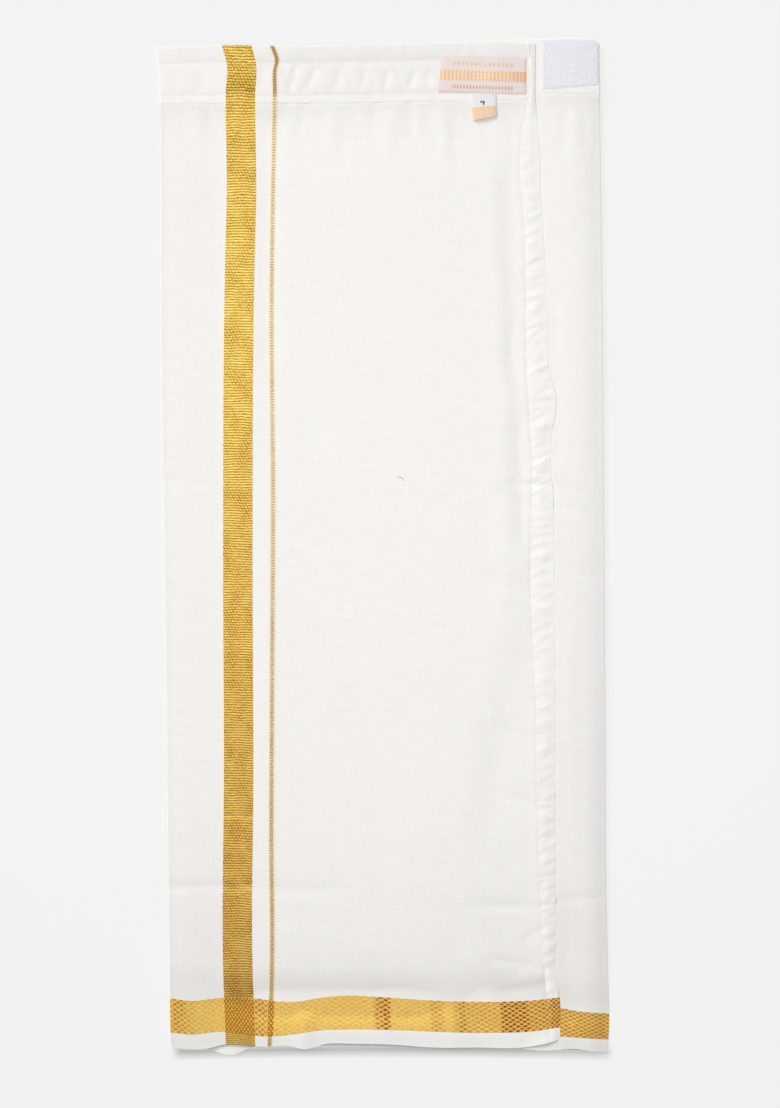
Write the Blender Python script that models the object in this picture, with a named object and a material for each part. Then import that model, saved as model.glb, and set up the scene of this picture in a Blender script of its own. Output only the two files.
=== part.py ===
"""A child's ready-made wrap dhoti, closed and laid flat, built as its sewn pieces.

One length of white cotton crosses the garment three times. The under flap starts inside at the left, turns
round the right fold into the back panel, and that turns round the left fold into the front flap, whose hemmed
edge closes over the under flap. Each stretch is a wall of its own, and the casing at the waist and the turned
side hem are walls of their own too, a seam gap apart.

All sizes are in millimetres until a mesh is made: x runs across the front from left to right, y up to the
waist, and z up from the surface that the dhoti lies on.
"""

import math
from collections import namedtuple

import bmesh
import bpy
import numpy as np

MM = 0.001

# Cloth and gaps
WALL = 1.0
BAND_WALL = 1.3
LABEL_WALL = 0.8
TAB_WALL = 1.2
TAPE_WALL = 0.9
GAP = 0.3
LIP_END = 5.5  # how far in from a fold its wall runs on under the garment
FOLD_STEPS = 6
THIN_ZARI = 2.0
SIDE_ZARI = 17.8
UNDER_END = -112.0  # where the under flap's hidden end lies
SEAM_DROP = GAP  # a panel's top edge below its waist casing

# Lines that run down the cloth: rows of y, x.
Down = namedtuple("Down", "y x")
LEFT_FOLD = [
    Down(303.0, -136.6),
    Down(285.0, -135.3),
    Down(240.0, -134.6),
    Down(149.0, -134.5),
    Down(28.0, -132.8),
    Down(-92.0, -131.0),
    Down(-213.0, -129.6),
    Down(-303.0, -128.2),
]
RIGHT_FOLD = [
    Down(307.0, 131.0),
    Down(285.0, 131.2),
    Down(240.0, 131.6),
    Down(149.0, 132.7),
    Down(28.0, 133.7),
    Down(-92.0, 134.5),
    Down(-213.0, 135.3),
    Down(-261.0, 136.4),
    Down(-289.0, 137.0),
    Down(-305.0, 136.0),
]
SIDE_ZARI_LEFT = [
    Down(303.0, -97.2),
    Down(292.0, -94.3),
    Down(274.0, -94.8),
    Down(216.0, -94.2),
    Down(167.0, -95.3),
    Down(-2.0, -96.4),
    Down(-135.0, -95.9),
    Down(-255.0, -96.4),
    Down(-302.0, -94.8),
]
THIN_ZARI_MIDDLE = [
    Down(303.0, -67.1),
    Down(293.0, -64.0),
    Down(276.0, -65.1),
    Down(192.0, -67.5),
    Down(155.0, -67.8),
    Down(83.0, -66.0),
    Down(-86.0, -66.9),
    Down(-231.0, -67.2),
    Down(-302.0, -69.8),
]
HEM_SEAM = [
    Down(304.0, 87.7),
    Down(267.0, 87.6),
    Down(251.0, 84.3),
    Down(186.0, 85.9),
    Down(107.0, 86.9),
    Down(47.0, 90.3),
    Down(-8.0, 89.2),
    Down(-92.0, 92.8),
    Down(-158.0, 93.8),
    Down(-246.0, 96.8),
    Down(-300.0, 100.4),
]
FLAP_EDGE = [
    Down(304.0, 92.4),
    Down(263.0, 92.8),
    Down(249.0, 94.4),
    Down(216.0, 95.4),
    Down(178.0, 97.8),
    Down(130.0, 100.1),
    Down(104.0, 101.0),
    Down(93.0, 104.4),
    Down(80.0, 104.6),
    Down(68.0, 102.0),
    Down(28.0, 103.2),
    Down(-62.0, 104.0),
    Down(-225.0, 104.9),
    Down(-262.0, 105.2),
    Down(-272.0, 106.6),
    Down(-297.0, 107.4),
]

# Lines that run across it: rows of x, y.
Across = namedtuple("Across", "x y")
WAIST_TOP = [
    Across(-136.0, 301.8),
    Across(-97.0, 303.3),
    Across(-67.0, 302.6),
    Across(-26.0, 303.0),
    Across(21.0, 304.0),
    Across(63.0, 305.0),
    Across(92.0, 303.9),
]
BACK_WAIST_TOP = [
    Across(-136.0, 301.0),
    Across(-67.0, 301.8),
    Across(21.0, 303.4),
    Across(63.0, 306.3),
    Across(91.0, 306.8),
    Across(122.0, 307.2),
    Across(127.0, 306.9),
    Across(130.0, 305.6),
    Across(131.2, 303.8),
]
WAIST_SEAM = [
    Across(-136.0, 267.6),
    Across(-50.0, 267.8),
    Across(33.0, 268.8),
    Across(88.0, 270.0),
]
UNDER_WAIST_SEAM = [
    Across(UNDER_END, 269.0),
    Across(95.0, 273.7),
    Across(131.0, 273.2),
]
BACK_WAIST_SEAM = [Across(-136.0, 267.6), Across(131.0, 273.2)]
TAPE_FOOT = [
    Across(96.0, 276.2),
    Across(113.0, 277.4),
    Across(130.0, 278.4),
]
BORDER_TOP = [
    Across(-127.0, -272.9),
    Across(-116.0, -274.2),
    Across(-98.0, -272.4),
    Across(-77.0, -272.9),
    Across(-62.0, -274.8),
    Across(-51.0, -274.7),
    Across(-40.0, -272.8),
    Across(-26.0, -271.2),
    Across(3.0, -272.3),
    Across(32.0, -274.2),
    Across(62.0, -274.9),
    Across(94.0, -273.6),
    Across(105.0, -272.3),
]
BORDER_FOOT = [
    Across(-127.0, -293.5),
    Across(-116.0, -294.6),
    Across(-98.0, -292.9),
    Across(-69.0, -295.8),
    Across(-51.0, -294.1),
    Across(-40.0, -292.3),
    Across(-26.0, -291.6),
    Across(3.0, -291.8),
    Across(32.0, -292.9),
    Across(62.0, -293.6),
    Across(94.0, -292.3),
    Across(105.0, -290.5),
]
FRONT_EDGE = [
    Across(-128.0, -302.1),
    Across(-120.5, -303.2),
    Across(-105.0, -303.0),
    Across(-97.7, -301.0),
    Across(-70.0, -302.0),
    Across(-57.5, -301.4),
    Across(-47.0, -303.4),
    Across(-34.0, -300.3),
    Across(-18.0, -300.2),
    Across(4.5, -300.7),
    Across(30.7, -302.5),
    Across(56.0, -302.5),
    Across(86.0, -302.3),
    Across(92.3, -301.3),
    Across(99.8, -299.8),
    Across(107.4, -297.3),
]
UNDER_BORDER_TOP = [
    Across(UNDER_END, -275.0),
    Across(108.0, -278.6),
    Across(115.5, -280.2),
    Across(133.6, -282.0),
]
UNDER_BORDER_FOOT = [
    Across(UNDER_END, -293.0),
    Across(108.0, -295.8),
    Across(133.6, -297.7),
]
UNDER_EDGE = [
    Across(UNDER_END, -300.5),
    Across(83.0, -303.0),
    Across(97.4, -304.4),
    Across(107.4, -303.6),
    Across(115.0, -303.3),
    Across(127.4, -304.8),
    Across(136.0, -305.3),
]
BACK_BORDER_TOP = [Across(-128.0, -272.9), Across(134.0, -282.0)]
BACK_BORDER_FOOT = [Across(-128.0, -293.5), Across(134.0, -297.7)]
BACK_EDGE = [
    Across(-128.5, -301.6),
    Across(-105.0, -303.9),
    Across(-91.7, -307.1),
    Across(-79.0, -302.5),
    Across(-34.0, -301.7),
    Across(10.0, -302.8),
    Across(46.0, -303.8),
    Across(100.0, -303.6),
    Across(136.0, -305.3),
]

# Soft folds, each a line from one end to the other with how wide and how high it is (a trough is negative).
Fold = namedtuple("Fold", "x0 y0 x1 y1 half_width rise")
FRONT_FOLDS = [
    Fold(76.0, 245.0, 81.0, 120.0, 5.0, -0.7),  # beside the side hem
    Fold(81.0, 120.0, 87.0, 10.0, 5.0, -0.7),
    Fold(82.0, 39.0, 100.0, 40.5, 2.5, -0.5),  # short crease across the hem seam
    Fold(-57.0, 96.0, -42.0, 70.0, 9.0, -0.6),  # dent beside the thin zari line
    Fold(-129.0, -205.0, -28.0, -207.0, 3.5, -0.3),  # pressed crease, left
    Fold(58.0, -216.0, 94.0, -216.0, 3.5, -0.3),  # pressed crease, right
    Fold(-64.0, -269.0, 12.0, -267.0, 5.0, -0.8),  # dips above the border
    Fold(76.0, -266.5, 97.0, -263.0, 4.0, -0.8),
    Fold(86.0, -252.0, 96.0, -244.0, 4.0, -0.5),
    Fold(-91.0, -303.0, -93.0, -262.0, 7.0, 1.0),  # waves of the lower edge
    Fold(-48.0, -303.0, -47.0, -282.0, 5.0, 0.6),
    Fold(44.0, -303.0, 45.0, -280.0, 9.0, 0.4),
    Fold(65.0, -160.0, 70.0, -118.0, 9.0, -0.4),
    Fold(-30.0, 268.0, -31.0, 247.0, 4.5, 0.4),  # gathers under the waist casing
    Fold(6.0, 268.0, 4.0, 244.0, 4.5, 0.4),
    Fold(36.0, 269.0, 38.0, 246.0, 4.5, 0.5),
    Fold(-112.0, 268.0, -110.0, 250.0, 4.5, 0.3),
]
WAIST_PUCKERS = [
    Fold(-51.8, 292.0, -55.4, 276.0, 2.6, -0.5),
    Fold(-41.2, 286.5, -46.4, 275.5, 2.6, -0.55),
    Fold(-25.8, 288.0, -28.8, 276.0, 2.6, -0.35),
    Fold(-11.9, 283.0, -13.1, 275.4, 2.2, -0.4),
    Fold(2.6, 284.0, 1.4, 275.4, 2.2, -0.45),
    Fold(18.3, 284.0, 15.9, 275.4, 2.4, -0.5),
    Fold(28.0, 286.0, 27.0, 275.8, 2.2, -0.3),
    Fold(-72.0, 288.0, -74.0, 275.0, 3.0, -0.3),
    Fold(-108.0, 286.0, -110.0, 275.5, 3.0, -0.25),
    Fold(-124.0, 284.0, -125.0, 275.5, 2.6, -0.2),
]

# How far the closed layers stand proud beside their folds, and how the body billows above them
Roll = namedtuple("Roll", "crown fade rise")
RIGHT_ROLL = Roll(crown=19.0, fade=45.0, rise=1.5)
LEFT_ROLL = Roll(crown=12.0, fade=12.0, rise=0.3)
BILLOW = 1.3
BILLOW_FOOT = (-272.0, -250.0)  # y from none to all of it, above the hem border
BILLOW_HEAD = (264.0, 215.0)  # y from none to all of it, below the waist casing
BILLOW_SIDE = (12.0, 34.0)  # the same, in from the flap's edge
END_SLOPE = 12.0  # width over which the front flap climbs onto the under flap's end
WAIST_LIFT = 0.2
WAIST_LIFT_RISE = (246.0, 267.0)

# Side hem of the front flap
HEM_PUFF = 0.5
HEM_EDGE_FALL = 0.45
PUCKER_PITCH = 8.2
PUCKER_RISE = 0.22
PUCKER_DRIFT = 31.0  # length over which the puckers' spacing wanders
HEM_CLIMB = (258.0, 270.0)  # y over which the hem climbs onto the waist casing

# Front waist casing, in shares of its height down from the top
UPPER_STITCHES = 0.28
LOWER_STITCHES = 0.86
RIDGE = 0.94
LINE_HALF_WIDTH = 0.05
SEAM_SINK = 0.3  # how deep a row of stitches pulls the casing down
CASING_PUFF = 0.35
RIDGE_RISE = 0.3
TOP_FALL = 0.5
FOOT_FALL = 0.3

LABEL_CORNERS = [(35.4, 296.9), (87.0, 295.3), (33.3, 274.5), (86.8, 272.9)]
TAB_CORNERS = [(52.7, 273.5), (68.3, 273.0), (54.9, 257.7), (68.4, 260.4)]
TAB_FLOOR = (5.4, 4.6)  # under its top edge and under its folded foot
TAPE_LEFT = 96.2
TAPE_DROP = 0.8  # below the casing's top
TAPE_END = 2.2  # short of the right fold


def along(line, at):
    """A line's smooth value at some places, level past its ends."""
    place, value = np.array(sorted(tuple(row) for row in line), float).T
    slope = np.gradient(value, place)
    before = np.clip(np.searchsorted(place, at) - 1, 0, len(place) - 2)
    step = place[before + 1] - place[before]
    t = np.clip((at - place[before]) / step, 0.0, 1.0)
    return (
        (1 + 2 * t) * (1 - t) ** 2 * value[before]
        + t * (1 - t) ** 2 * step * slope[before]
        + t**2 * (3 - 2 * t) * value[before + 1]
        + t**2 * (t - 1) * step * slope[before + 1]
    )


def ease(value, start, end):
    """0 at start and 1 at end, with level ends."""
    t = np.clip((value - start) / (end - start), 0.0, 1.0)
    return t * t * (3 - 2 * t)


def bell(distance, half_width):
    return np.exp(-((distance / half_width) ** 2))


def roll_rise(roll, distance):
    """Height that a roll adds at a distance in from its fold: it rounds off outward and fades inward."""
    rounded = 1 - (np.maximum(roll.crown - distance, 0.0) / roll.crown) ** 2
    return roll.rise * rounded * bell(np.maximum(distance - roll.crown, 0.0), roll.fade)


def folds_rise(folds, x, y):
    """Height that soft folds add, each one fading out past its two ends."""
    total = np.zeros_like(x)
    for fold in folds:
        dx, dy = fold.x1 - fold.x0, fold.y1 - fold.y0
        length = math.hypot(dx, dy)
        on = ((x - fold.x0) * dx + (y - fold.y0) * dy) / length
        off = ((x - fold.x0) * dy - (y - fold.y0) * dx) / length
        past = np.maximum(np.maximum(-on, on - length), 0.0)
        total += fold.rise * bell(off, fold.half_width) * bell(past, 2 * fold.half_width)
    return total


def on_under_flap(x):
    """1 where the front lies on the under flap, 0 to the left of that flap's end."""
    return ease(x, UNDER_END - END_SLOPE, UNDER_END - GAP)


def under_top(x, y):
    """Top of the under flap's wall."""
    return 2 * WALL + GAP + roll_rise(RIGHT_ROLL, along(RIGHT_FOLD, y) - x)


def front_top(x, y, loose=1.0):
    """Top of the front flap's wall: on the under flap, or past that flap's end on the back panel."""
    resting = WALL + GAP + on_under_flap(x) * (under_top(x, y) - WALL)
    body = ease(y, *BILLOW_FOOT) * ease(y, *BILLOW_HEAD) * ease(along(FLAP_EDGE, y) - x, *BILLOW_SIDE)
    lift = BILLOW * body + WAIST_LIFT * ease(y, *WAIST_LIFT_RISE) + folds_rise(FRONT_FOLDS, x, y)
    left = roll_rise(LEFT_ROLL, x - along(LEFT_FOLD, y))
    return resting + WALL + left + loose * np.maximum(lift, 0.0)


def under_casing_top(x, y):
    """Top of the under flap's waist casing."""
    return 2 * BAND_WALL + GAP + 0.5 * roll_rise(RIGHT_ROLL, along(RIGHT_FOLD, y) - x)


def casing_floor(x, y):
    """Underside of the front waist casing."""
    left = roll_rise(LEFT_ROLL, x - along(LEFT_FOLD, y))
    return BAND_WALL + GAP + left + on_under_flap(x) * (under_casing_top(x, y) - BAND_WALL)


def casing_top(x, y):
    """Face of the front waist casing, with its two stitched valleys, the channel and the ridge at its foot."""
    top, foot = along(WAIST_TOP, x), along(WAIST_SEAM, x)
    share = (top - y) / (top - foot)
    channel = ease(share, UPPER_STITCHES, UPPER_STITCHES + 3 * LINE_HALF_WIDTH)
    channel = channel * ease(share, LOWER_STITCHES, LOWER_STITCHES - 3 * LINE_HALF_WIDTH)
    stitches = bell(share - UPPER_STITCHES, LINE_HALF_WIDTH) + bell(share - LOWER_STITCHES, LINE_HALF_WIDTH)
    ridge = bell(share - RIDGE, LINE_HALF_WIDTH)
    rounded = TOP_FALL * bell(share, LINE_HALF_WIDTH) + FOOT_FALL * bell(share - 1.0, LINE_HALF_WIDTH / 2)
    puckers = folds_rise(WAIST_PUCKERS, x, y) * channel
    face = CASING_PUFF * channel - SEAM_SINK * stitches + RIDGE_RISE * ridge - rounded
    return casing_floor(x, y) + BAND_WALL + face + puckers


Row = namedtuple("Row", "above below share drop")


def row_places(row, x):
    """y of a row of points at each x, a share of the way from one line that runs across to another."""
    above, below = along(row.above, x), along(row.below, x)
    return above + (below - above) * row.share - row.drop


def rows_between(above, below, shares, drop=0.0):
    return [Row(above, below, share, drop) for share in shares]


def turned_edge(fold, side, rows, height_at, wall):
    """Outer and inner points of a fold, from its lip under the garment round to the top.

    The side is -1 for the left fold and 1 for the right one.
    """
    y = np.array([row_places(row, np.array([0.0]))[0] for row in rows])
    for _ in range(3):
        edge = along(fold, y)
        y = np.array([row_places(row, place[None])[0] for row, place in zip(rows, edge)])
    radius = height_at(edge - side * 2.0, y) / 2
    angles = np.linspace(-math.pi / 2, math.pi / 2, FOLD_STEPS + 1)
    middle = edge - side * radius
    lip = edge - side * LIP_END
    outer = [np.stack([lip, y, 0 * y], -1)]
    inner = [np.stack([lip, y, 0 * y + wall], -1)]
    for angle in angles:
        for points, reach in ((outer, radius), (inner, radius - wall)):
            x = middle + side * reach * math.cos(angle)
            points.append(np.stack([x, y, radius + reach * math.sin(angle)], -1))
    return np.stack(outer, 1), np.stack(inner, 1)


def spread(rows, columns):
    """x and y of a grid of points on crossing rows and columns. A column is a function from y to x."""
    y = np.stack([row_places(row, np.zeros(len(columns))) for row in rows])
    for _ in range(3):
        x = np.stack([column(y[:, i]) for i, column in enumerate(columns)], 1)
        y = np.stack([row_places(row, x[i]) for i, row in enumerate(rows)])
    return x, y


def line_column(line, offset=0.0):
    return lambda y: along(line, y) + offset


def between_columns(left, right, shares):
    """Columns spread between two others."""
    return [
        lambda y, share=share: (1 - share) * left(y) + share * right(y) for share in shares
    ]


def level_column(x):
    return lambda y: np.full_like(y, x)


def finish(name, colour, roughness, metallic=0.0):
    material = bpy.data.materials.new(name)
    material.use_nodes = True
    shader = material.node_tree.nodes["Principled BSDF"]
    shader.inputs["Base Color"].default_value = (*colour, 1.0)
    shader.inputs["Roughness"].default_value = roughness
    shader.inputs["Metallic"].default_value = metallic
    return material


def wall_object(name, outer, inner, materials, paint=None):
    """A closed wall between two grids of points of the same shape, one on each of its faces.

    paint gives the number of the material of the square after a row and a column, on the outer face.
    """
    rows, columns = outer.shape[:2]
    mesh = bpy.data.meshes.new(name)
    for material in materials:
        mesh.materials.append(material)
    body = bmesh.new()
    out = [[body.verts.new(point * MM) for point in line] for line in outer]
    back = [[body.verts.new(point * MM) for point in line] for line in inner]
    for i in range(rows - 1):
        for j in range(columns - 1):
            face = body.faces.new((out[i][j], out[i + 1][j], out[i + 1][j + 1], out[i][j + 1]))
            face.material_index = paint(i, j) if paint else 0
            body.faces.new((back[i][j], back[i][j + 1], back[i + 1][j + 1], back[i + 1][j]))
        for j in (0, columns - 1):
            body.faces.new((out[i][j], back[i][j], back[i + 1][j], out[i + 1][j]))
    for j in range(columns - 1):
        for i in (0, rows - 1):
            body.faces.new((out[i][j], out[i][j + 1], back[i][j + 1], back[i][j]))
    bmesh.ops.recalc_face_normals(body, faces=body.faces)
    body.to_mesh(mesh)
    body.free()
    mesh.shade_smooth()
    mesh.set_sharp_from_angle(angle=math.radians(50))
    made = bpy.data.objects.new(name, mesh)
    bpy.context.collection.objects.link(made)
    return made


def raised(x, y, z):
    return np.stack([x, y, z], -1)


def build_back_panel(cloth, zari):
    """Flat stretch on the surface, between the lips of the two folds."""
    rows = rows_between(BACK_WAIST_SEAM, BACK_BORDER_TOP, np.linspace(0, 1, 13)[:-1], SEAM_DROP)
    rows += rows_between(BACK_BORDER_TOP, BACK_BORDER_FOOT, [0.0])
    rows += rows_between(BACK_BORDER_FOOT, BACK_EDGE, [0.0, 1.0])
    border = len(rows) - 3
    left = line_column(LEFT_FOLD, LIP_END + GAP)
    right = line_column(RIGHT_FOLD, -(LIP_END + GAP))
    places = [0.0, 0.06, 0.11, 0.15, 0.19, 0.28, 0.4, 0.55, 0.7, 0.85, 1.0]
    x, y = spread(rows, between_columns(left, right, places))
    return wall_object(
        "back_panel",
        raised(x, y, 0 * x),
        raised(x, y, 0 * x + WALL),
        [cloth, zari],
        lambda i, j: int(i == border),
    )


def build_under_flap(cloth, zari):
    """Inner end of the wrap, with the right fold."""
    rows = rows_between(UNDER_WAIST_SEAM, UNDER_BORDER_TOP, np.linspace(0, 1, 31)[:-1], SEAM_DROP)
    rows += rows_between(UNDER_BORDER_TOP, UNDER_BORDER_FOOT, [0.0, 0.5])
    rows += rows_between(UNDER_BORDER_FOOT, UNDER_EDGE, [0.0, 1.0])
    border = len(rows) - 4
    outer, inner = turned_edge(RIGHT_FOLD, 1, rows, under_top, WALL)
    insets = (5.0, 9.0, 13.0, 18.0, 24.0, 32.0, 44.0)
    columns = [line_column(RIGHT_FOLD, -inset) for inset in insets]
    columns += [level_column(x) for x in (50.0, 0.0, -56.0, UNDER_END)]
    x, y = spread(rows, columns)
    top = under_top(x, y)
    return wall_object(
        "under_flap",
        np.concatenate([outer, raised(x, y, top)], 1),
        np.concatenate([inner, raised(x, y, top - WALL)], 1),
        [cloth, zari],
        lambda i, j: int(border <= i < border + 2),
    )


def build_front_flap(cloth, zari):
    """Outer end of the wrap, from the left fold to the seam of its side hem."""
    shares = sorted([*np.linspace(0, 1, 37)[:-1], 0.014, 0.042, 0.872, 0.880, 0.888])
    rows = rows_between(WAIST_SEAM, BORDER_TOP, shares, SEAM_DROP)
    rows += rows_between(BORDER_TOP, BORDER_FOOT, [0.0, 0.5])
    rows += rows_between(BORDER_FOOT, FRONT_EDGE, [0.0, 1.0])
    border = len(rows) - 4
    outer, inner = turned_edge(LEFT_FOLD, -1, rows, front_top, WALL)
    seam = line_column(HEM_SEAM, -GAP / 2)
    thin_right = line_column(THIN_ZARI_MIDDLE, THIN_ZARI / 2)
    columns = [line_column(LEFT_FOLD, inset) for inset in (6.0, 16.0, 27.0)]
    columns += [
        line_column(SIDE_ZARI_LEFT),
        line_column(SIDE_ZARI_LEFT, SIDE_ZARI),
        line_column(THIN_ZARI_MIDDLE, -THIN_ZARI / 2),
        thin_right,
    ]
    columns += between_columns(
        thin_right, seam, (0.1, 0.2, 0.32, 0.45, 0.58, 0.7, 0.78, 0.85, 0.9, 0.95)
    )
    columns.append(seam)
    x, y = spread(rows, columns)
    top = front_top(x, y)
    side_zari = outer.shape[1] + 3
    thin_zari = side_zari + 2

    def paint(i, j):
        return int(j in (side_zari, thin_zari) or border <= i < border + 2)

    return wall_object(
        "front_flap",
        np.concatenate([outer, raised(x, y, top)], 1),
        np.concatenate([inner, raised(x, y, top - WALL)], 1),
        [cloth, zari],
        paint,
    )


def build_flap_hem(cloth, zari):
    """Turned and stitched side hem of the front flap, up over the end of the waist casing, puckered all along."""
    shares = np.linspace(0, 1, 176)[:-1]
    rows = rows_between(WAIST_TOP, BORDER_TOP, shares)
    rows += rows_between(BORDER_TOP, BORDER_FOOT, [0.0, 0.25, 0.5, 0.75])
    rows += rows_between(BORDER_FOOT, FRONT_EDGE, [0.0, 0.5, 1.0])
    border = len(rows) - 7
    x, y = spread(
        rows,
        between_columns(line_column(HEM_SEAM, GAP / 2), line_column(FLAP_EDGE), (0, 0.3, 0.65, 0.9, 1)),
    )
    across = (x - x[:, :1]) / (x[:, -1:] - x[:, :1])
    at_waist = ease(y, *HEM_CLIMB)
    floor = front_top(x, y, 0.0) - WALL
    floor = floor + at_waist * (casing_floor(x, y) - floor)
    phase = 2 * math.pi * y / PUCKER_PITCH + 1.6 * np.sin(y / PUCKER_DRIFT)
    pucker = PUCKER_RISE * np.sin(phase) * (1 - at_waist) * np.sin(math.pi * across * 0.9)
    puff = HEM_PUFF * np.sin(math.pi * (0.12 + 0.7 * across)) + at_waist * (BAND_WALL - WALL)
    rounded = HEM_EDGE_FALL * ease(across, 0.85, 1.0)
    return wall_object(
        "flap_hem",
        raised(x, y, floor + WALL + puff + pucker - rounded),
        raised(x, y, floor),
        [cloth, zari],
        lambda i, j: int(border <= i < border + 4),
    )


def build_waistband_front(cloth, zari):
    """Waist casing of the front flap, with the left fold."""
    shares = (0.0, 0.04, 0.14, 0.22, UPPER_STITCHES, 0.36, 0.5, 0.66, 0.78, LOWER_STITCHES, 0.9, RIDGE, 1.0)
    rows = rows_between(WAIST_TOP, WAIST_SEAM, shares)
    outer, inner = turned_edge(LEFT_FOLD, -1, rows, casing_top, BAND_WALL)
    end = line_column(HEM_SEAM, -GAP / 2)
    thin_right = line_column(THIN_ZARI_MIDDLE, THIN_ZARI / 2)
    columns = [line_column(LEFT_FOLD, inset) for inset in (7.0, 14.0, 22.0, 31.0)]
    columns += [
        line_column(SIDE_ZARI_LEFT),
        line_column(SIDE_ZARI_LEFT, SIDE_ZARI / 2),
        line_column(SIDE_ZARI_LEFT, SIDE_ZARI),
        line_column(THIN_ZARI_MIDDLE, -THIN_ZARI / 2),
        thin_right,
    ]
    columns += between_columns(thin_right, end, np.linspace(0, 1, 47)[1:])
    x, y = spread(rows, columns)
    side_zari = outer.shape[1] + 4
    thin_zari = side_zari + 3
    return wall_object(
        "waistband_front",
        np.concatenate([outer, raised(x, y, casing_top(x, y))], 1),
        np.concatenate([inner, raised(x, y, casing_floor(x, y))], 1),
        [cloth, zari],
        lambda i, j: int(j in (side_zari, side_zari + 1, thin_zari)),
    )


def build_waistband_under(cloth):
    """Waist casing of the under flap, with the right fold."""
    rows = rows_between(BACK_WAIST_TOP, UNDER_WAIST_SEAM, (0.0, 0.04, 0.3, 0.6, 0.86, 0.94, 1.0))
    outer, inner = turned_edge(RIGHT_FOLD, 1, rows, under_casing_top, BAND_WALL)
    columns = [line_column(RIGHT_FOLD, -inset) for inset in (5.0, 9.0, 14.0, 20.0, 28.0, 38.0)]
    columns += [level_column(x) for x in (60.0, 20.0, -20.0, -66.0, UNDER_END)]
    x, y = spread(rows, columns)
    top = under_casing_top(x, y)
    return wall_object(
        "waistband_under",
        np.concatenate([outer, raised(x, y, top)], 1),
        np.concatenate([inner, raised(x, y, top - BAND_WALL)], 1),
        [cloth],
    )


def build_waistband_back(cloth):
    """Waist casing of the back panel, flat on the surface between the two folds' lips."""
    rows = rows_between(BACK_WAIST_TOP, BACK_WAIST_SEAM, (0.0, 0.5, 1.0))
    left = line_column(LEFT_FOLD, LIP_END + GAP)
    right = line_column(RIGHT_FOLD, -(LIP_END + GAP))
    x, y = spread(rows, between_columns(left, right, np.linspace(0, 1, 9)))
    return wall_object("waistband_back", raised(x, y, 0 * x), raised(x, y, 0 * x + BAND_WALL), [cloth])


def build_closure_tape(tape):
    """Soft side of the touch-and-close tape, sewn on the under flap's waist casing."""
    rows = rows_between(BACK_WAIST_TOP, TAPE_FOOT, (0.0, 0.33, 0.67), TAPE_DROP)
    rows += rows_between(BACK_WAIST_TOP, TAPE_FOOT, (1.0,))
    right = line_column(RIGHT_FOLD, -TAPE_END)
    x, y = spread(rows, between_columns(level_column(TAPE_LEFT), right, np.linspace(0, 1, 10)))
    floor = under_casing_top(x, y) + GAP
    return wall_object("closure_tape", raised(x, y, floor + TAPE_WALL), raised(x, y, floor), [tape])


def corner_grid(corners, rows, columns):
    """x and y of a grid spread over four corners: top left, top right, foot left, foot right."""
    down, right = np.meshgrid(np.linspace(0, 1, rows), np.linspace(0, 1, columns), indexing="ij")
    top_left, top_right, foot_left, foot_right = (np.array(corner) for corner in corners)
    weights = ((1 - down) * (1 - right), (1 - down) * right, down * (1 - right), down * right)
    points = sum(
        weight[..., None] * corner
        for weight, corner in zip(weights, (top_left, top_right, foot_left, foot_right))
    )
    return points[..., 0], points[..., 1]


def build_waist_label(woven):
    """Woven label sewn on the front waist casing."""
    x, y = corner_grid(LABEL_CORNERS, 8, 13)
    floor = casing_top(x, y) + GAP
    return wall_object("waist_label", raised(x, y, floor + LABEL_WALL), raised(x, y, floor), [woven])


def build_size_tab(woven):
    """Folded size tab that hangs from the label's foot, down over the edge of the casing."""
    x, y = corner_grid(TAB_CORNERS, 7, 5)
    foot_left, foot_right = LABEL_CORNERS[2:]
    y[0] = np.interp(x[0], *zip(foot_left, foot_right)) - GAP
    down = (y[0] - y) / (y[0] - y[-1])
    floor = TAB_FLOOR[0] + (TAB_FLOOR[1] - TAB_FLOOR[0]) * down
    rounded = 0.35 * ease(down, 0.9, 1.0)
    return wall_object("size_tab", raised(x, y, floor + TAB_WALL - rounded), raised(x, y, floor), [woven])


def main():
    for old in list(bpy.data.objects):
        bpy.data.objects.remove(old)
    cloth = finish("white cotton", (0.90, 0.90, 0.87), 0.9)
    zari = finish("gold zari", (0.72, 0.46, 0.09), 0.45, 0.5)
    tape = finish("loop tape", (0.80, 0.79, 0.84), 0.95)
    woven = finish("woven label", (0.88, 0.62, 0.45), 0.7)
    build_back_panel(cloth, zari)
    build_under_flap(cloth, zari)
    build_front_flap(cloth, zari)
    build_flap_hem(cloth, zari)
    build_waistband_front(cloth, zari)
    build_waistband_under(cloth)
    build_waistband_back(cloth)
    build_closure_tape(tape)
    build_waist_label(woven)
    build_size_tab(woven)


main()
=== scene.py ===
"""A child's ready-made wrap dhoti in white cotton with woven gold borders, closed and laid flat.

One length of cloth crosses the garment three times: the under flap turns round the right fold into the
back panel, and that turns round the left fold into the front flap, whose puckered side hem closes over
the under flap. Each stretch is a thin shell laid on the form of its solid, with its creases placed one by
one, and each point knows its place on the woven cloth, so that the gold borders, the ribs and the
threads follow the folds.

Sizes are in millimetres until a mesh is made: x runs across the front from left to right, y up to the
waist, and z up from the surface that the dhoti lies on.
"""

import logging
import math
from dataclasses import dataclass, field
from enum import Enum
from typing import Any, Callable, NamedTuple, Sequence, Union

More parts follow.
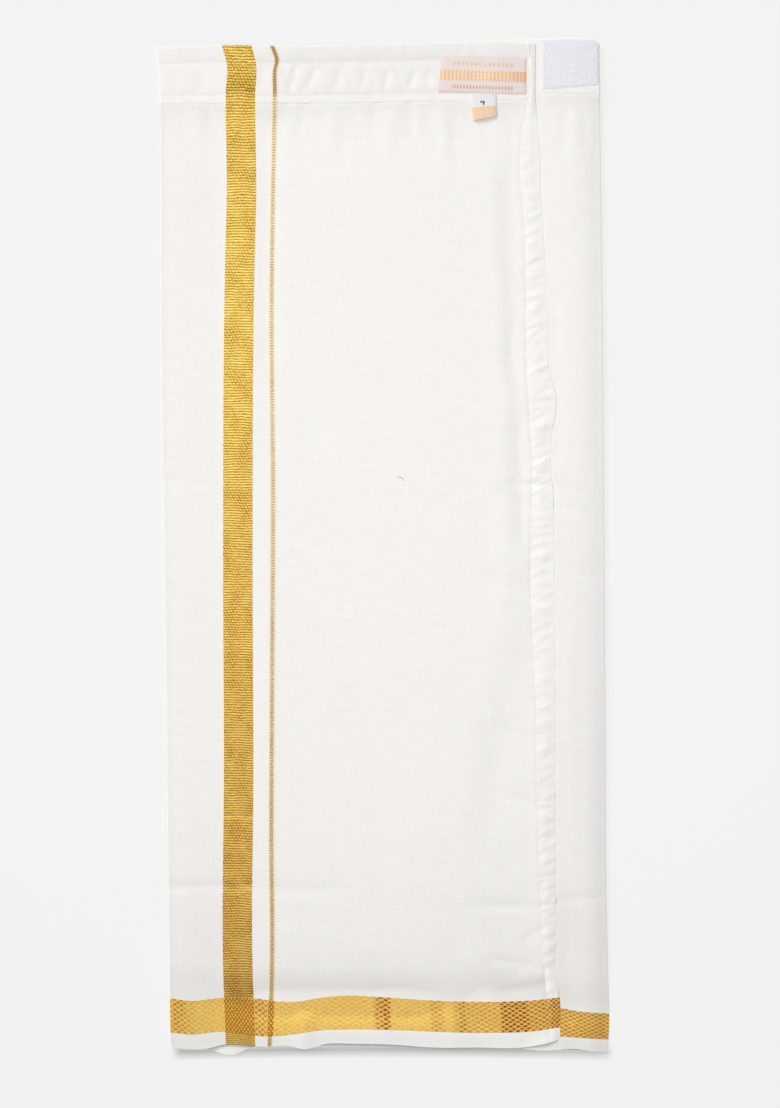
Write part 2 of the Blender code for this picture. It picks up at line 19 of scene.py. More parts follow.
import bpy
import numpy as np
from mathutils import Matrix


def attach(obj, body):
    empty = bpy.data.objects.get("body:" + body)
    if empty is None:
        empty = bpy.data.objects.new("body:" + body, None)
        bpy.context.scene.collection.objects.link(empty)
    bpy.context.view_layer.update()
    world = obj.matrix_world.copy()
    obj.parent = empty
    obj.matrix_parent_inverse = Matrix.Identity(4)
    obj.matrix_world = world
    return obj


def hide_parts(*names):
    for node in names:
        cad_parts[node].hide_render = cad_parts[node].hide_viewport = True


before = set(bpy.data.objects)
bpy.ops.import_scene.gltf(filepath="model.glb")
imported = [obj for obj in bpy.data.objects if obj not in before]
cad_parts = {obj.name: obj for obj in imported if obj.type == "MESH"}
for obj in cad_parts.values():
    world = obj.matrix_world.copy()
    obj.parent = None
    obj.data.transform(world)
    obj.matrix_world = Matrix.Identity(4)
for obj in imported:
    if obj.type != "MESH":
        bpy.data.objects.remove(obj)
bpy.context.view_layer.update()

MM = 0.001
BODY = "root"
CLOTH_MAP = "cloth"
# name of the point attribute that holds painted shade, which darkens the cotton's colour
PAINTED_SHADE = "painted_shade"

log = logging.getLogger("dhoti")

Array = np.ndarray
Pair = tuple[float, float]
Colour = tuple[float, float, float]
Material = bpy.types.Material
HeightAt = Callable[[Array, Array], Array]


class Side(Enum):
    """The side of the garment that a fold lies on."""

    LEFT = -1
    RIGHT = 1


class Held(Enum):
    """How a piece of cloth is kept in its shape."""

    LAID = "laid"
    FOLDED = "folded"


class Slot(Enum):
    """Names for the material slots; no piece takes its finish through them."""

    COTTON = "white_cotton"
    TAPE = "loop_tape"
    LABEL = "woven_label"


# -------- The laid garment: its lines, its creases and how high each layer lies --------


def ease(value: Any, start: float, end: float) -> Any:
    """Rise smoothly from 0 at start to 1 at end."""
    t = np.clip((value - start) / (end - start), 0.0, 1.0)
    return t * t * (3 - 2 * t)


def bell(distance: Any, half_width: float) -> Any:
    """Fall smoothly from 1 at no distance towards 0."""
    return np.exp(-((distance / half_width) ** 2))


@dataclass(frozen=True)
class Line:
    """A smooth line on the laid garment, and the thread of the woven cloth that it follows.

    A line down the cloth has rows of y and x, and a line across it has rows of x and y.
    """

    rows: tuple[Pair, ...]
    thread: float

    def at(self, place: Any) -> Array:
        """Read the line at some places.

        Args:
            place: The y of a line down the cloth, or the x of one across it.

        Returns:
            The line's other coordinate there, level past its ends.
        """
        known, value = np.array(sorted(self.rows), float).T
        slope = np.gradient(value, known)
        before = np.clip(np.searchsorted(known, place) - 1, 0, len(known) - 2)
        step = known[before + 1] - known[before]
        t = np.clip((place - known[before]) / step, 0.0, 1.0)
        return (
            (1 + 2 * t) * (1 - t) ** 2 * value[before]
            + t * (1 - t) ** 2 * step * slope[before]
            + t**2 * (3 - 2 * t) * value[before + 1]
            + t**2 * (t - 1) * step * slope[before + 1]
        )

    def moved(self, by: float) -> "Line":
        """Give the line that runs beside this one, some way on."""
        return Line(tuple((place, value + by) for place, value in self.rows), self.thread + by)


class Track(NamedTuple):
    """A line a share of the way from one line to another, with how deep it lies under the cloth's face."""

    first: Line
    second: Line
    share: float
    offset: float = 0.0
    depth: float = 0.0

    def at(self, place: Any) -> Array:
        """Read the track at some places."""
        return (1 - self.share) * self.first.at(place) + self.share * self.second.at(place) + self.offset

    def thread(self) -> float:
        """Give the thread of the cloth that the track follows."""
        return (1 - self.share) * self.first.thread + self.share * self.second.thread + self.offset


def tracks(*stops: tuple[Line, int]) -> list[Track]:
    """Spread tracks between lines.

    Args:
        stops: Each line, with how many steps lead to it from the line before.

    Returns:
        The tracks, the first and the last line among them.
    """
    made = [Track(stops[0][0], stops[0][0], 0.0)]
    for (first, _), (second, steps) in zip(stops, stops[1:]):
        made += [Track(first, second, step / steps) for step in range(1, steps + 1)]
    return made


@dataclass(frozen=True)
class Crease:
    """A soft ridge from one point to another, or a trough where its rise is negative."""

    x0: float
    y0: float
    x1: float
    y1: float
    half_width: float
    rise: float

    def at(self, x: Array, y: Array) -> Array:
        """Give the height that the crease adds, fading out past its two ends.

        Args:
            x: Places across.
            y: Places up.

        Returns:
            The added height at each place.
        """
        dx, dy = self.x1 - self.x0, self.y1 - self.y0
        length = math.hypot(dx, dy)
        on = ((x - self.x0) * dx + (y - self.y0) * dy) / length
        off = ((x - self.x0) * dy - (y - self.y0) * dx) / length
        past = np.maximum(np.maximum(-on, on - length), 0.0)
        return self.rise * bell(off, self.half_width) * bell(past, 2 * self.half_width)


def creased(creases: Sequence[Crease], x: Array, y: Array) -> Array:
    """Add up the heights of some creases."""
    return sum((crease.at(x, y) for crease in creases), np.zeros_like(x))


def crease_table(*rows: tuple[float, float, float, float, float, float]) -> tuple[Crease, ...]:
    """Make creases from rows of x and y at both ends, half width and rise."""
    return tuple(Crease(*row) for row in rows)


class Drift:
    """Smooth unevenness, as in cloth that was pressed by hand, the same on every run."""

    SIZE = 64
    FAR = 1000.0  # counts the bumps from far below and left of the garment

    def __init__(self, seed: int, pitch_x: float, pitch_y: float, rise: float) -> None:
        """Draw the unevenness.

        Args:
            seed: Which unevenness it is.
            pitch_x: Distance between its bumps across the garment.
            pitch_y: Distance between them up the garment.
            rise: How high its bumps are, and how deep its hollows.
        """
        self.values = np.random.default_rng(seed).uniform(-1.0, 1.0, (self.SIZE, self.SIZE))
        self.pitch = (pitch_x, pitch_y)
        self.rise = rise

    def at(self, x: Array, y: Array) -> Array:
        """Give the height that it adds at some points.

        Args:
            x: Places across.
            y: Places up.

        Returns:
            The added height at each place.
        """
        column, row = x / self.pitch[0] + self.FAR, y / self.pitch[1] + self.FAR
        i, j = np.floor(column).astype(int), np.floor(row).astype(int)
        s, t = ease(column - i, 0.0, 1.0), ease(row - j, 0.0, 1.0)
        corner = [[self.values[(j + b) % self.SIZE, (i + a) % self.SIZE] for a in (0, 1)] for b in (0, 1)]
        low = corner[0][0] * (1 - s) + corner[0][1] * s
        high = corner[1][0] * (1 - s) + corner[1][1] * s
        return self.rise * (low * (1 - t) + high * t)


@dataclass(frozen=True)
class Roll:
    """How far closed layers stand proud beside their fold: they round off outward and fade inward."""

    crown: float
    fade: float
    rise: float

    def at(self, distance: Array) -> Array:
        """Give the height that the roll adds at a distance in from its fold."""
        rounded = 1 - (np.maximum(self.crown - distance, 0.0) / self.crown) ** 2
        return self.rise * rounded * bell(np.maximum(distance - self.crown, 0.0), self.fade)


# Threads of the woven cloth: how far a line lies from the left fold, and above the foot of the hem border
SIDE_ZARI = 17.8
SIDE_ZARI_START = 36.5
THIN_ZARI_THREAD = 65.2
HEM_THREAD = 221.0
HEM_WIDTH = 12.5
BORDER_HEIGHT = 20.0
SELVEDGE = -9.5
CASING_THREAD = 561.0
WAIST_THREAD = 596.5
UNDER_THREAD = 420.0

LEFT_FOLD = Line(
    (
        (303, -136.6), (285, -135.3), (240, -134.6), (149, -134.5),
        (28, -132.8), (-92, -131), (-213, -129.6), (-303, -128.2),
    ),
    0.0,
)
RIGHT_FOLD = Line(
    (
        (307, 131), (285, 131.2), (240, 131.6), (149, 132.7), (28, 133.7),
        (-92, 134.5), (-213, 135.3), (-261, 136.4), (-289, 137), (-305, 136),
    ),
    UNDER_THREAD,
)
SIDE_ZARI_LEFT = Line(
    (
        (303, -97.2), (292, -94.3), (274, -94.8), (216, -94.2), (167, -95.3),
        (-2, -96.4), (-135, -95.9), (-255, -96.4), (-302, -94.8),
    ),
    SIDE_ZARI_START,
)
THIN_ZARI = Line(
    (
        (303, -67.6), (293, -64.6), (289, -65.6), (276, -65.8), (234, -66.6), (149, -67.8),
        (28, -66.9), (-92, -67.6), (-177, -68), (-249, -67.6), (-283, -68.5), (-302, -69.3),
    ),
    THIN_ZARI_THREAD,
)
HEM_SEAM = Line(
    (
        (304, 87.7), (267, 87.6), (251, 84.3), (186, 85.9), (107, 86.9), (47, 90.3),
        (-8, 89.2), (-92, 92.8), (-158, 93.8), (-246, 96.8), (-300, 100.4),
    ),
    HEM_THREAD,
)
FLAP_EDGE = Line(
    (
        (304, 92.4), (263, 92.8), (249, 94.4), (216, 95.4), (178, 97.8), (130, 100.1),
        (104, 101), (93, 104.4), (80, 104.6), (68, 102), (28, 103.2), (-62, 104),
        (-225, 104.9), (-262, 105.2), (-272, 106.6), (-297, 107.4),
    ),
    HEM_THREAD + HEM_WIDTH,
)
WAIST_TOP = Line(
    (
        (-136, 301.8), (-97, 303.3), (-67, 302.6), (-26, 303), (21, 304),
        (63, 305), (92, 303.9),
    ),
    WAIST_THREAD,
)
BACK_WAIST_TOP = Line(
    (
        (-136, 301), (-67, 301.8), (21, 303.4), (63, 306.3), (91, 306.8),
        (122, 307.2), (127, 306.9), (130, 305.6), (131.2, 303.8),
    ),
    WAIST_THREAD,
)
WAIST_SEAM = Line(((-136, 267.6), (-50, 267.8), (33, 268.8), (88, 270)), CASING_THREAD)
UNDER_END = -112.0
UNDER_END_THREAD = UNDER_THREAD - 246.0
FACE_START = 3.2  # how far in from a fold the cloth that is turned round it meets the laid face
UNDER_WAIST_SEAM = Line(((UNDER_END, 269), (95, 273.7), (131, 273.2)), CASING_THREAD)
BACK_WAIST_SEAM = Line(((-136, 267.6), (131, 273.2)), CASING_THREAD)
TAPE_LEFT = 96.2
TAPE_FOOT = Line(((96, 276.5), (113, 277.6), (130, 279.3)), 0)
BORDER_TOP = Line(
    (
        (-127, -272.9), (-116, -274.2), (-98, -272.4), (-77, -272.9), (-62, -274.8),
        (-51, -274.7), (-40, -272.8), (-26, -271.2), (3, -272.3), (32, -274.2),
        (62, -274.9), (94, -273.6), (105, -272.3),
    ),
    BORDER_HEIGHT,
)
BORDER_FOOT = Line(
    (
        (-127, -293.5), (-116, -294.6), (-98, -292.9), (-69, -295.8), (-51, -294.1),
        (-40, -292.3), (-26, -291.6), (3, -291.8), (32, -292.9), (62, -293.6),
        (94, -292.3), (105, -290.5),
    ),
    0.0,
)
FRONT_EDGE = Line(
    (
        (-128, -302.1), (-120.5, -303.2), (-105, -303), (-97.7, -301), (-70, -302),
        (-57.5, -301.4), (-47, -303.4), (-34, -300.3), (-18, -300.2), (4.5, -300.7),
        (30.7, -302.5), (56, -302.5), (86, -302.3), (92.3, -301.3), (99.8, -299.8), (107.4, -297.3),
    ),
    SELVEDGE,
)
UNDER_BORDER_TOP = Line(
    ((UNDER_END, -275), (108, -278.6), (115.5, -280.2), (133.6, -282)), BORDER_HEIGHT
)
UNDER_BORDER_FOOT = Line(((UNDER_END, -293), (108, -295.8), (133.6, -297.7)), 0)
UNDER_EDGE = Line(
    (
        (UNDER_END, -300.5), (83, -303), (97.4, -304.4), (107.4, -303.6), (115, -303.3),
        (127.4, -304.8), (136, -305.3),
    ),
    SELVEDGE,
)
BACK_BORDER_TOP = Line(((-128, -272.9), (134, -282)), BORDER_HEIGHT)
BACK_BORDER_FOOT = Line(((-128, -293.5), (134, -297.7)), 0)
BACK_EDGE = Line(
    (
        (-128.5, -301.6), (-105, -303.9), (-91.7, -307.1), (-79, -302.5), (-34, -301.7),
        (10, -302.8), (46, -303.8), (100, -303.6), (136, -305.3),
    ),
    SELVEDGE,
)

# The main folds, where the solids have them
FRONT_FOLDS = crease_table(
    (74.5, 222, 79.5, 120, 6.5, -0.45),  # beside the side hem
    (79.5, 120, 85, 10, 6, -0.5),
    (82, 39, 100, 40.5, 2.5, -0.5),  # short crease across the hem seam
    (-57, 96, -42, 70, 9, -0.5),  # dent beside the thin zari line
    (-69.5, 250, -70.5, 120, 8, -0.65),  # hollow between the zari lines
    (-70.5, 112, -70, 60, 7, -0.3),
    (-129, -205, -28, -207, 3.5, -0.3),  # pressed crease, left
    (58, -216, 94, -216, 3.5, -0.3),  # pressed crease, right
    (-66, -274.5, 10, -274, 11, -1.7),  # the fall to the border
    (16, -277, 60, -278, 9, -0.3),
    (70, -274, 94, -275, 14, -1.1),
    (-58, -238, 6, -240, 12, 0.35),
    (64, -245, 98, -240, 11, 0.25),
    (-91, -303, -93, -262, 7, 0.35),  # waves of the lower edge
    (-48, -303, -47, -282, 5, 0.6),
    (44, -303, 45, -280, 9, 0.4),
    (65, -160, 70, -118, 9, -0.4),
    (-30, 268, -31, 247, 4.5, 0.4),  # gathers under the waist casing
    (6, 268, 4, 244, 4.5, 0.4),
    (36, 269, 38, 246, 4.5, 0.5),
    (-112, 268, -110, 250, 4.5, 0.3),
)
WAIST_PUCKERS = crease_table(
    (-51.8, 292, -55.4, 276, 2.6, -0.5),
    (-41.2, 286.5, -46.4, 275.5, 2.6, -0.55),
    (-25.8, 288, -28.8, 276, 2.6, -0.35),
    (-11.9, 283, -13.1, 275.4, 2.2, -0.4),
    (2.6, 284, 1.4, 275.4, 2.2, -0.45),
    (18.3, 284, 15.9, 275.4, 2.4, -0.5),
    (28, 286, 27, 275.8, 2.2, -0.3),
    (-72, 288, -74, 275, 3, -0.3),
    (-108, 286, -110, 275.5, 3, -0.25),
    (-124, 284, -125, 275.5, 2.6, -0.2),
)

# Finer creases of the cloth's face
FRONT_CREASES = crease_table(
    (-128, -206.3, -98, -203.8, 1.3, -0.22),  # sharp line of the pressed crease
    (-96, -205.5, -77, -210, 1.5, -0.22),
    (-62, -208, -20, -214, 2.4, -0.14),
    (-97, -164.2, -78, -163.6, 1.2, -0.2),  # short lines across the side band
    (-96, 37, -76, 38.5, 1.3, -0.14),
    (-131, 40, -100, 38.5, 2.2, -0.12),
    (-130, -101, -102, -104, 2.4, -0.12),
    (-101, 246, -100, 160, 4, -0.12),  # beside the side band
    (-100.5, 150, -101.5, 20, 3.6, -0.08),
    (84, 37.6, 96, 37.4, 1, -0.5),  # sharp line of the short crease
    (74, 31, 88, 24, 4.5, -0.35),
    (73, -20, 87, -27, 4.5, -0.3),
    (76, -64, 90, -70, 4, -0.22),
    (78, -110, 92, -117, 4, -0.25),
    (77, -150, 93, -156, 4, -0.25),
    (66, -218, 95, -216.5, 1.6, -0.22),
    (68, -249.5, 98, -254.5, 1.8, -0.3),  # fan of creases in the lower corner
    (72, -268.2, 96, -265, 2.6, -0.42),
    (96.5, -300.5, 106.5, -297.5, 4, 0.75),  # lifted corner
    (88, -236, 99, -228, 2.4, -0.25),
    (-56, -231, -45, -247, 2.6, 0.2),
    (15.6, 266, 17.5, 249, 2.2, -0.22),  # wrinkles below the waist casing
    (23, 267, 22, 252, 2, 0.2),
    (-4, 267, -5.5, 254, 2.4, -0.2),
    (-17, 267, -17.5, 257, 2, -0.16),
    (-47, 267, -50, 250, 2.6, -0.22),
    (-58, 266, -60, 256, 2, -0.18),
    (-104, 267, -105, 255, 2.4, -0.2),
    (-121, 267, -121.5, 257, 2.4, -0.16),
    (41, 262, 45, 225, 4.5, -0.2),
    (62, 258, 66, 236, 3.5, -0.14),
    (74, 262, 78, 246, 2.6, -0.14),
)


def hem_puckers(count: int, seed: int) -> tuple[Crease, ...]:
    """Draw the short slanted puckers that the stitches pull up along the side hem.

    Args:
        count: How many there are.
        seed: Which unevenness they have.

    Returns:
        The puckers, deepest where the hem was stretched most as it was sewn.
    """
    uneven = np.random.default_rng(seed)
    made = []
    for y in np.linspace(236.0, -262.0, count) + uneven.uniform(-2.0, 2.0, count):
        pull = 0.5 + 0.5 * float(bell(y - 70.0, 85.0)) + 0.4 * float(bell(y + 180.0, 60.0))
        seam = float(HEM_SEAM.at(np.array(y)))
        start, length, slant = uneven.uniform(-2.5, 5.0), uneven.uniform(3.5, 9.0), uneven.uniform(-0.1, 0.75)
        rise = uneven.uniform(0.08, 0.22) * pull * (1 if uneven.uniform() < 0.55 else -1)
        x = seam + start
        made.append(Crease(x, y, x + length, y + slant * length, uneven.uniform(0.8, 1.7), rise))
    return tuple(made)


HEM_PUCKERS = hem_puckers(170, 71)
UNDER_CREASES = crease_table(
    (103, 37, 121, 34, 1.6, -0.22),
    (104, 25, 124, 22, 3, -0.18),
    (106, -14, 130, -17, 3.2, -0.16),
    (106, -214, 131, -211, 2.4, -0.28),
    (104, -276, 122, -280, 10, -0.8),
    (111, 262, 109, 240, 3.5, -0.2),
    (121, 268, 122, 246, 3.2, -0.2),
    (104, 150, 106, 60, 3.5, -0.15),
    (112, -60, 115, -190, 4, 0.14),
)


@dataclass(frozen=True)
class Drape:
    """How high each layer of the laid garment lies above the surface."""

    wall: float = 1.0
    band_wall: float = 1.3
    gap: float = 0.3
    right_roll: Roll = Roll(19.0, 45.0, 1.5)
    left_roll: Roll = Roll(12.0, 12.0, 0.3)
    bridge: Pair = (-136.0, -66.0)  # where the front climbs onto the under flap
    billow: float = 1.3  # rise of the air under the front flap
    billow_foot: Pair = (-277.0, -252.0)
    billow_head: Pair = (264.0, 215.0)
    billow_side: Pair = (8.0, 32.0)
    billow_spread: float = 26.0  # how much further in the billow begins in the lower half
    end_slope: float = 12.0  # width of the step down at the under flap's hidden end
    slack: float = 0.8  # how far a thin shell can sink below the face of its solid
    settle: float = 1.05  # how far the flap settles onto the one below it beside its edge
    casing_settle: float = 1.0  # how far the end of the front casing settles onto the one below it
    casing_settle_side: Pair = (4.0, 24.0)
    settle_side: Pair = (6.0, 84.0)
    seam_rise: float = 24.0  # how far below the waist seam the cloth begins to rise to it
    seam_lap: float = 0.02  # how far the cloth laps over the foot of the casing
    tuck: float = 1.2  # how deep the cloth runs in under the casing
    tape_swell: float = 0.3
    clearance: float = 0.4  # least height of the flap's face over the one below it
    lower_fall: float = 1.0  # how far all the layers fall to the hem border
    lower_fall_rise: Pair = (-272.0, -200.0)
    edge_droop: float = 0.3  # how far the cloth comes down at its lower edge
    edge_reach: float = 9.0

    def on_under_flap(self, x: Array) -> Array:
        """Give 1 where the front lies on the under flap, and 0 past that flap's hidden end."""
        return ease(x, UNDER_END - self.end_slope, UNDER_END - self.gap)

    def under_top(self, x: Array, y: Array) -> Array:
        """Give the height of the under flap's face."""
        fallen = self.lower_fall * (1 - ease(y, *self.lower_fall_rise))
        return 2 * self.wall + self.gap + self.right_roll.at(RIGHT_FOLD.at(y) - x) - fallen

    def resting(self, x: Array, y: Array) -> Array:
        """Give the height that the front flap rests at.

        Args:
            x: Places across.
            y: Places up.

        Returns:
            The height at each place.
        """
        left = self.left_roll.at(x - LEFT_FOLD.at(y))
        under = ease(x, *self.bridge) * (self.under_top(x, y) - self.wall)
        settled = self.settle * (1 - ease(FLAP_EDGE.at(y) - x, *self.settle_side))
        return self.wall + self.gap + under + left - settled

    def to_seam(self, y: Array, seam: Array) -> Array:
        """Give how far the cloth has come to the waist seam, from 0 to 1."""
        return np.clip((y - seam) / self.seam_rise + 1.0, 0.0, 1.0) ** 2

    def front_top(self, x: Array, y: Array) -> Array:
        """Give the height of the front flap's face, before its finer creases.

        Args:
            x: Places across.
            y: Places up.

        Returns:
            The height at each place.
        """
        seam = WAIST_SEAM.at(x)
        near = self.to_seam(y, seam)
        inner = self.billow_side[1] + self.billow_spread * ease(y, -20.0, -140.0)
        body = ease(y, *self.billow_foot) * ease(y, *self.billow_head)
        body = body * ease(FLAP_EDGE.at(y) - x, self.billow_side[0], inner)
        lift = self.billow * body + creased(FRONT_FOLDS, x, y) * (1 - 0.85 * ease(y, seam - 10.0, seam))
        base = self.resting(x, y) + self.wall
        base = base + (self.casing_floor(x, y) + self.band_wall + self.seam_lap - base) * near
        top = base + np.maximum(lift, -self.slack)
        top = np.maximum(top, self.on_under_flap(x) * (self.under_top(x, y) + self.clearance))
        return top - self.tuck * ease(y - seam, 0.1, 3.0)

    def under_casing_top(self, x: Array, y: Array) -> Array:
        """Give the height of the under flap's waist casing."""
        return 2 * self.band_wall + self.gap + 0.5 * self.right_roll.at(RIGHT_FOLD.at(y) - x)

    def swell(self, x: Array, y: Array) -> Array:
        """Give how far the under layer swells up at the foot of the closing tape.

        Args:
            x: Places across.
            y: Places up.

        Returns:
            The added height at each place.
        """
        beside = ease(x - FLAP_EDGE.at(y), 2.0, 7.0)
        covered = ease(np.minimum(y - TAPE_FOOT.at(x), x - TAPE_LEFT), 0.2, 1.2)
        return self.tape_swell * ease(y, 266.0, 276.0) * ease(y, 281.0, 278.0) * beside * (1 - covered)

    def casing_floor(self, x: Array, y: Array) -> Array:
        """Give the height that the front waist casing rests at.

        Args:
            x: Places across.
            y: Places up.

        Returns:
            The height at each place.
        """
        left = self.left_roll.at(x - LEFT_FOLD.at(y))
        under = ease(x, *self.bridge) * (self.under_casing_top(x, y) - self.band_wall)
        settled = self.casing_settle * (1 - ease(FLAP_EDGE.at(y) - x, *self.casing_settle_side))
        return self.band_wall + self.gap + left + under - settled

    def droop(self, rows: Sequence[Track]) -> Array:
        """Give how far each row of the cloth comes down towards its lower edge, as a column."""
        above = np.array([row.thread() for row in rows]) - SELVEDGE
        return (self.edge_droop * (1 - ease(above, 0.0, self.edge_reach)))[:, None]


DRAPE = Drape()
SHELL = 0.35  # thickness of the laid cloth's shell


# -------- Grids of points on the cloth, and meshes made from them --------


@dataclass
class Patch:
    """A grid of points, the place of each one on the woven cloth, and how much painted shade it carries."""

    points: Array
    woven: Array
    shade: Array = field(default_factory=lambda: np.zeros(0))

    def beside(self, other: "Patch") -> "Patch":
        """Join the columns of another patch to the right of this one's.

        Args:
            other: The patch on the right.

        Returns:
            Both as one patch.
        """
        return Patch(
            np.concatenate([self.points, other.points], 1),
            np.concatenate([self.woven, other.woven], 1),
            np.concatenate([self.shading(), other.shading()], 1),
        )

    def places(self) -> tuple[Array, Array]:
        """Give the x and the y of every point."""
        return self.points[..., 0], self.points[..., 1]

    def shading(self) -> Array:
        """Give the painted shade of every point, none where it wasn't set."""
        return self.shade if self.shade.size else np.zeros(self.points.shape[:2])


def crossings(rows: Sequence[Track], columns: Sequence[Track]) -> tuple[Array, Array]:
    """Find where tracks across the cloth meet tracks down it.

    Args:
        rows: The tracks across, from the waist down.
        columns: The tracks down, from left to right.

    Returns:
        The x and the y of the grid.
    """
    y = np.stack([row.at(np.zeros(len(columns))) for row in rows])
    x = y
    for _ in range(3):
        x = np.stack([column.at(y[:, i]) for i, column in enumerate(columns)], 1)
        y = np.stack([row.at(x[i]) for i, row in enumerate(rows)])
    return x, y


def woven_grid(rows: Sequence[Track], columns: Sequence[Track]) -> Array:
    """Give the places on the woven cloth of a grid of tracks.

    Args:
        rows: The tracks across.
        columns: The tracks down.

    Returns:
        The place of each crossing.
    """
    along = np.array([row.thread() for row in rows])
    across = np.array([column.thread() for column in columns])
    return np.stack(np.broadcast_arrays(across[None, :], along[:, None]), -1)


def laid(rows: Sequence[Track], columns: Sequence[Track], height: HeightAt) -> Patch:
    """Lay a grid of tracks on a surface.

    Args:
        rows: The tracks across, from the waist down.
        columns: The tracks down, from left to right.
        height: The surface's height.

    Returns:
        The patch.
    """
    x, y = crossings(rows, columns)
    depth = np.array([row.depth for row in rows])[:, None]
    return Patch(np.stack([x, y, height(x, y) - depth], -1), woven_grid(rows, columns))


FOLD_FLATNESS = 0.35  # 1 turns cloth round a half circle, and less presses the fold flatter


def turned(
    rows: Sequence[Track], fold: Line, side: Side, height: HeightAt, lip: float, steps: int = 16
) -> Patch:
    """Turn cloth round a fold, from its lip under the garment up to its face.

    Args:
        rows: The tracks across, from the waist down.
        fold: The fold's line.
        side: The side that it lies on.
        height: The height of the cloth's face.
        lip: How far in from the fold the cloth runs on under the garment.
        steps: How many steps lead round the fold.

    Returns:
        The patch, from the lip to the face on the left side, and from the face to the lip on the right one.
    """
    outward = side.value
    y = np.array([row.at(0.0) for row in rows], float)
    for _ in range(3):
        edge = fold.at(y)
        y = np.array([row.at(place) for row, place in zip(rows, edge)], float)
    inset = 2.0
    radius = height(edge - outward * inset, y) / 2
    depth = np.array([row.depth for row in rows])
    along = np.array([row.thread() for row in rows])
    middle = edge - outward * radius
    columns, woven = [], []
    for share in (0.0, 0.5):
        x = edge - outward * (lip * (1 - share) + radius * share)
        past = np.abs(x - middle) + radius * (math.pi - 1)
        columns.append(np.stack([x, y, depth], -1))
        woven.append(np.stack([fold.thread + outward * past, along], -1))
    for angle in np.linspace(-math.pi / 2, math.pi / 2, steps + 1):
        reach = radius - depth
        out = max(math.cos(angle), 0.0) ** FOLD_FLATNESS
        up = math.copysign(abs(math.sin(angle)) ** FOLD_FLATNESS, angle)
        x = middle + outward * reach * out
        past = radius * (math.pi / 2 - angle - 1)
        columns.append(np.stack([x, y, radius + reach * up], -1))
        woven.append(np.stack([fold.thread + outward * past, along], -1))
    order = 1 if side is Side.LEFT else -1
    return Patch(np.stack(columns[::order], 1), np.stack(woven[::order], 1))


def put(name: str, data: Any) -> bpy.types.Object:
    """Put a mesh, a curve, a lamp or a camera in the scene.

    Args:
        name: The object's name.
        data: What it shows.

    Returns:
        The object, at the origin.
    """
    made = bpy.data.objects.new(name, data)
    bpy.context.collection.objects.link(made)
    return made


def deselect() -> None:
    """Leave no object selected, so that an operator acts on the next piece alone."""
    if bpy.context.object and bpy.context.object.mode != "OBJECT":
        bpy.ops.object.mode_set(mode="OBJECT")
    bpy.ops.object.select_all(action="DESELECT")


def activate(piece: bpy.types.Object) -> None:
    """Select one piece alone and make it the active one.

    Args:
        piece: The piece.
    """
    deselect()
    piece.select_set(True)
    bpy.context.view_layer.objects.active = piece


def use_modifier(piece: bpy.types.Object, kind: str, **settings: Any) -> None:
    """Apply a modifier to a piece.

    Args:
        piece: The piece.
        kind: The modifier's type.
        settings: Its settings, by name.
    """
    activate(piece)
    modifier = piece.modifiers.new(kind.title(), kind)
    for name, value in settings.items():
        setattr(modifier, name, value)
    bpy.ops.object.modifier_apply(modifier=modifier.name)


def lay_grid(name: str, patch: Patch) -> bpy.types.Object:
    """Lay a grid primitive on a patch of cloth.

    Args:
        name: The piece's name.
        patch: The points and their places on the woven cloth.

    Returns:
        The piece, one layer of faces that point out of the garment.
    """
    rows, columns = patch.points.shape[:2]
    deselect()
    bpy.ops.mesh.primitive_grid_add(x_subdivisions=columns - 1, y_subdivisions=rows - 1, size=2.0)
    piece = bpy.context.object
    piece.name = piece.data.name = name
    mesh = piece.data
    flat = np.empty(len(mesh.vertices) * 3, np.float32)
    mesh.vertices.foreach_get("co", flat)
    at = flat.reshape(-1, 3)
    column = np.rint((at[:, 0] + 1) / 2 * (columns - 1)).astype(int)
    row = np.rint((1 - at[:, 1]) / 2 * (rows - 1)).astype(int)
    mesh.vertices.foreach_set("co", (patch.points[row, column] * MM).astype(np.float32).ravel())
    # painted shade of each point, by which the cotton's finish darkens its colour
    shade = mesh.attributes.new(PAINTED_SHADE, "FLOAT", "POINT")
    shade.data.foreach_set("value", patch.shading()[row, column].astype(np.float32))
    corner = np.empty(len(mesh.loops), np.int32)
    mesh.loops.foreach_get("vertex_index", corner)
    places = (patch.woven[row, column] * MM).astype(np.float32)
    mesh.uv_layers[0].name = CLOTH_MAP
    mesh.uv_layers[CLOTH_MAP].uv.foreach_set("vector", places[corner].ravel())
    mesh.update()
    return piece


def smooth(piece: bpy.types.Object, angle: float = 50.0) -> None:
    """Shade a piece smooth, with edges sharp past an angle in degrees."""
    activate(piece)
    bpy.ops.object.shade_smooth_by_angle(angle=math.radians(angle))


@dataclass(frozen=True)
class Cut:
    """A piece of cloth's flat size, how it is held and what it lies on."""

    width: float
    length: float
    held: Held
    rests_on: tuple[str, ...]


def shell_piece(
    name: str,
    patch: Patch,
    finish: Material,
    node: str,
    thickness: float = SHELL,
) -> None:
    """Make a piece of cloth as a thin shell, and say what it stands for.

    Args:
        name: The piece's name.
        patch: Its outer face.
        finish: Its material.
        node: The solid that it replaces.
        thickness: The shell's thickness.
    """
    piece = lay_grid(name, patch)
    use_modifier(piece, "SOLIDIFY", thickness=thickness * MM, offset=-1.0)
    smooth(piece)
    piece.data.materials.append(finish)
    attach(piece, BODY)
    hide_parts(node)
    log.info("%s: %d faces for %s", name, len(piece.data.polygons), node)


# -------- Finishes --------


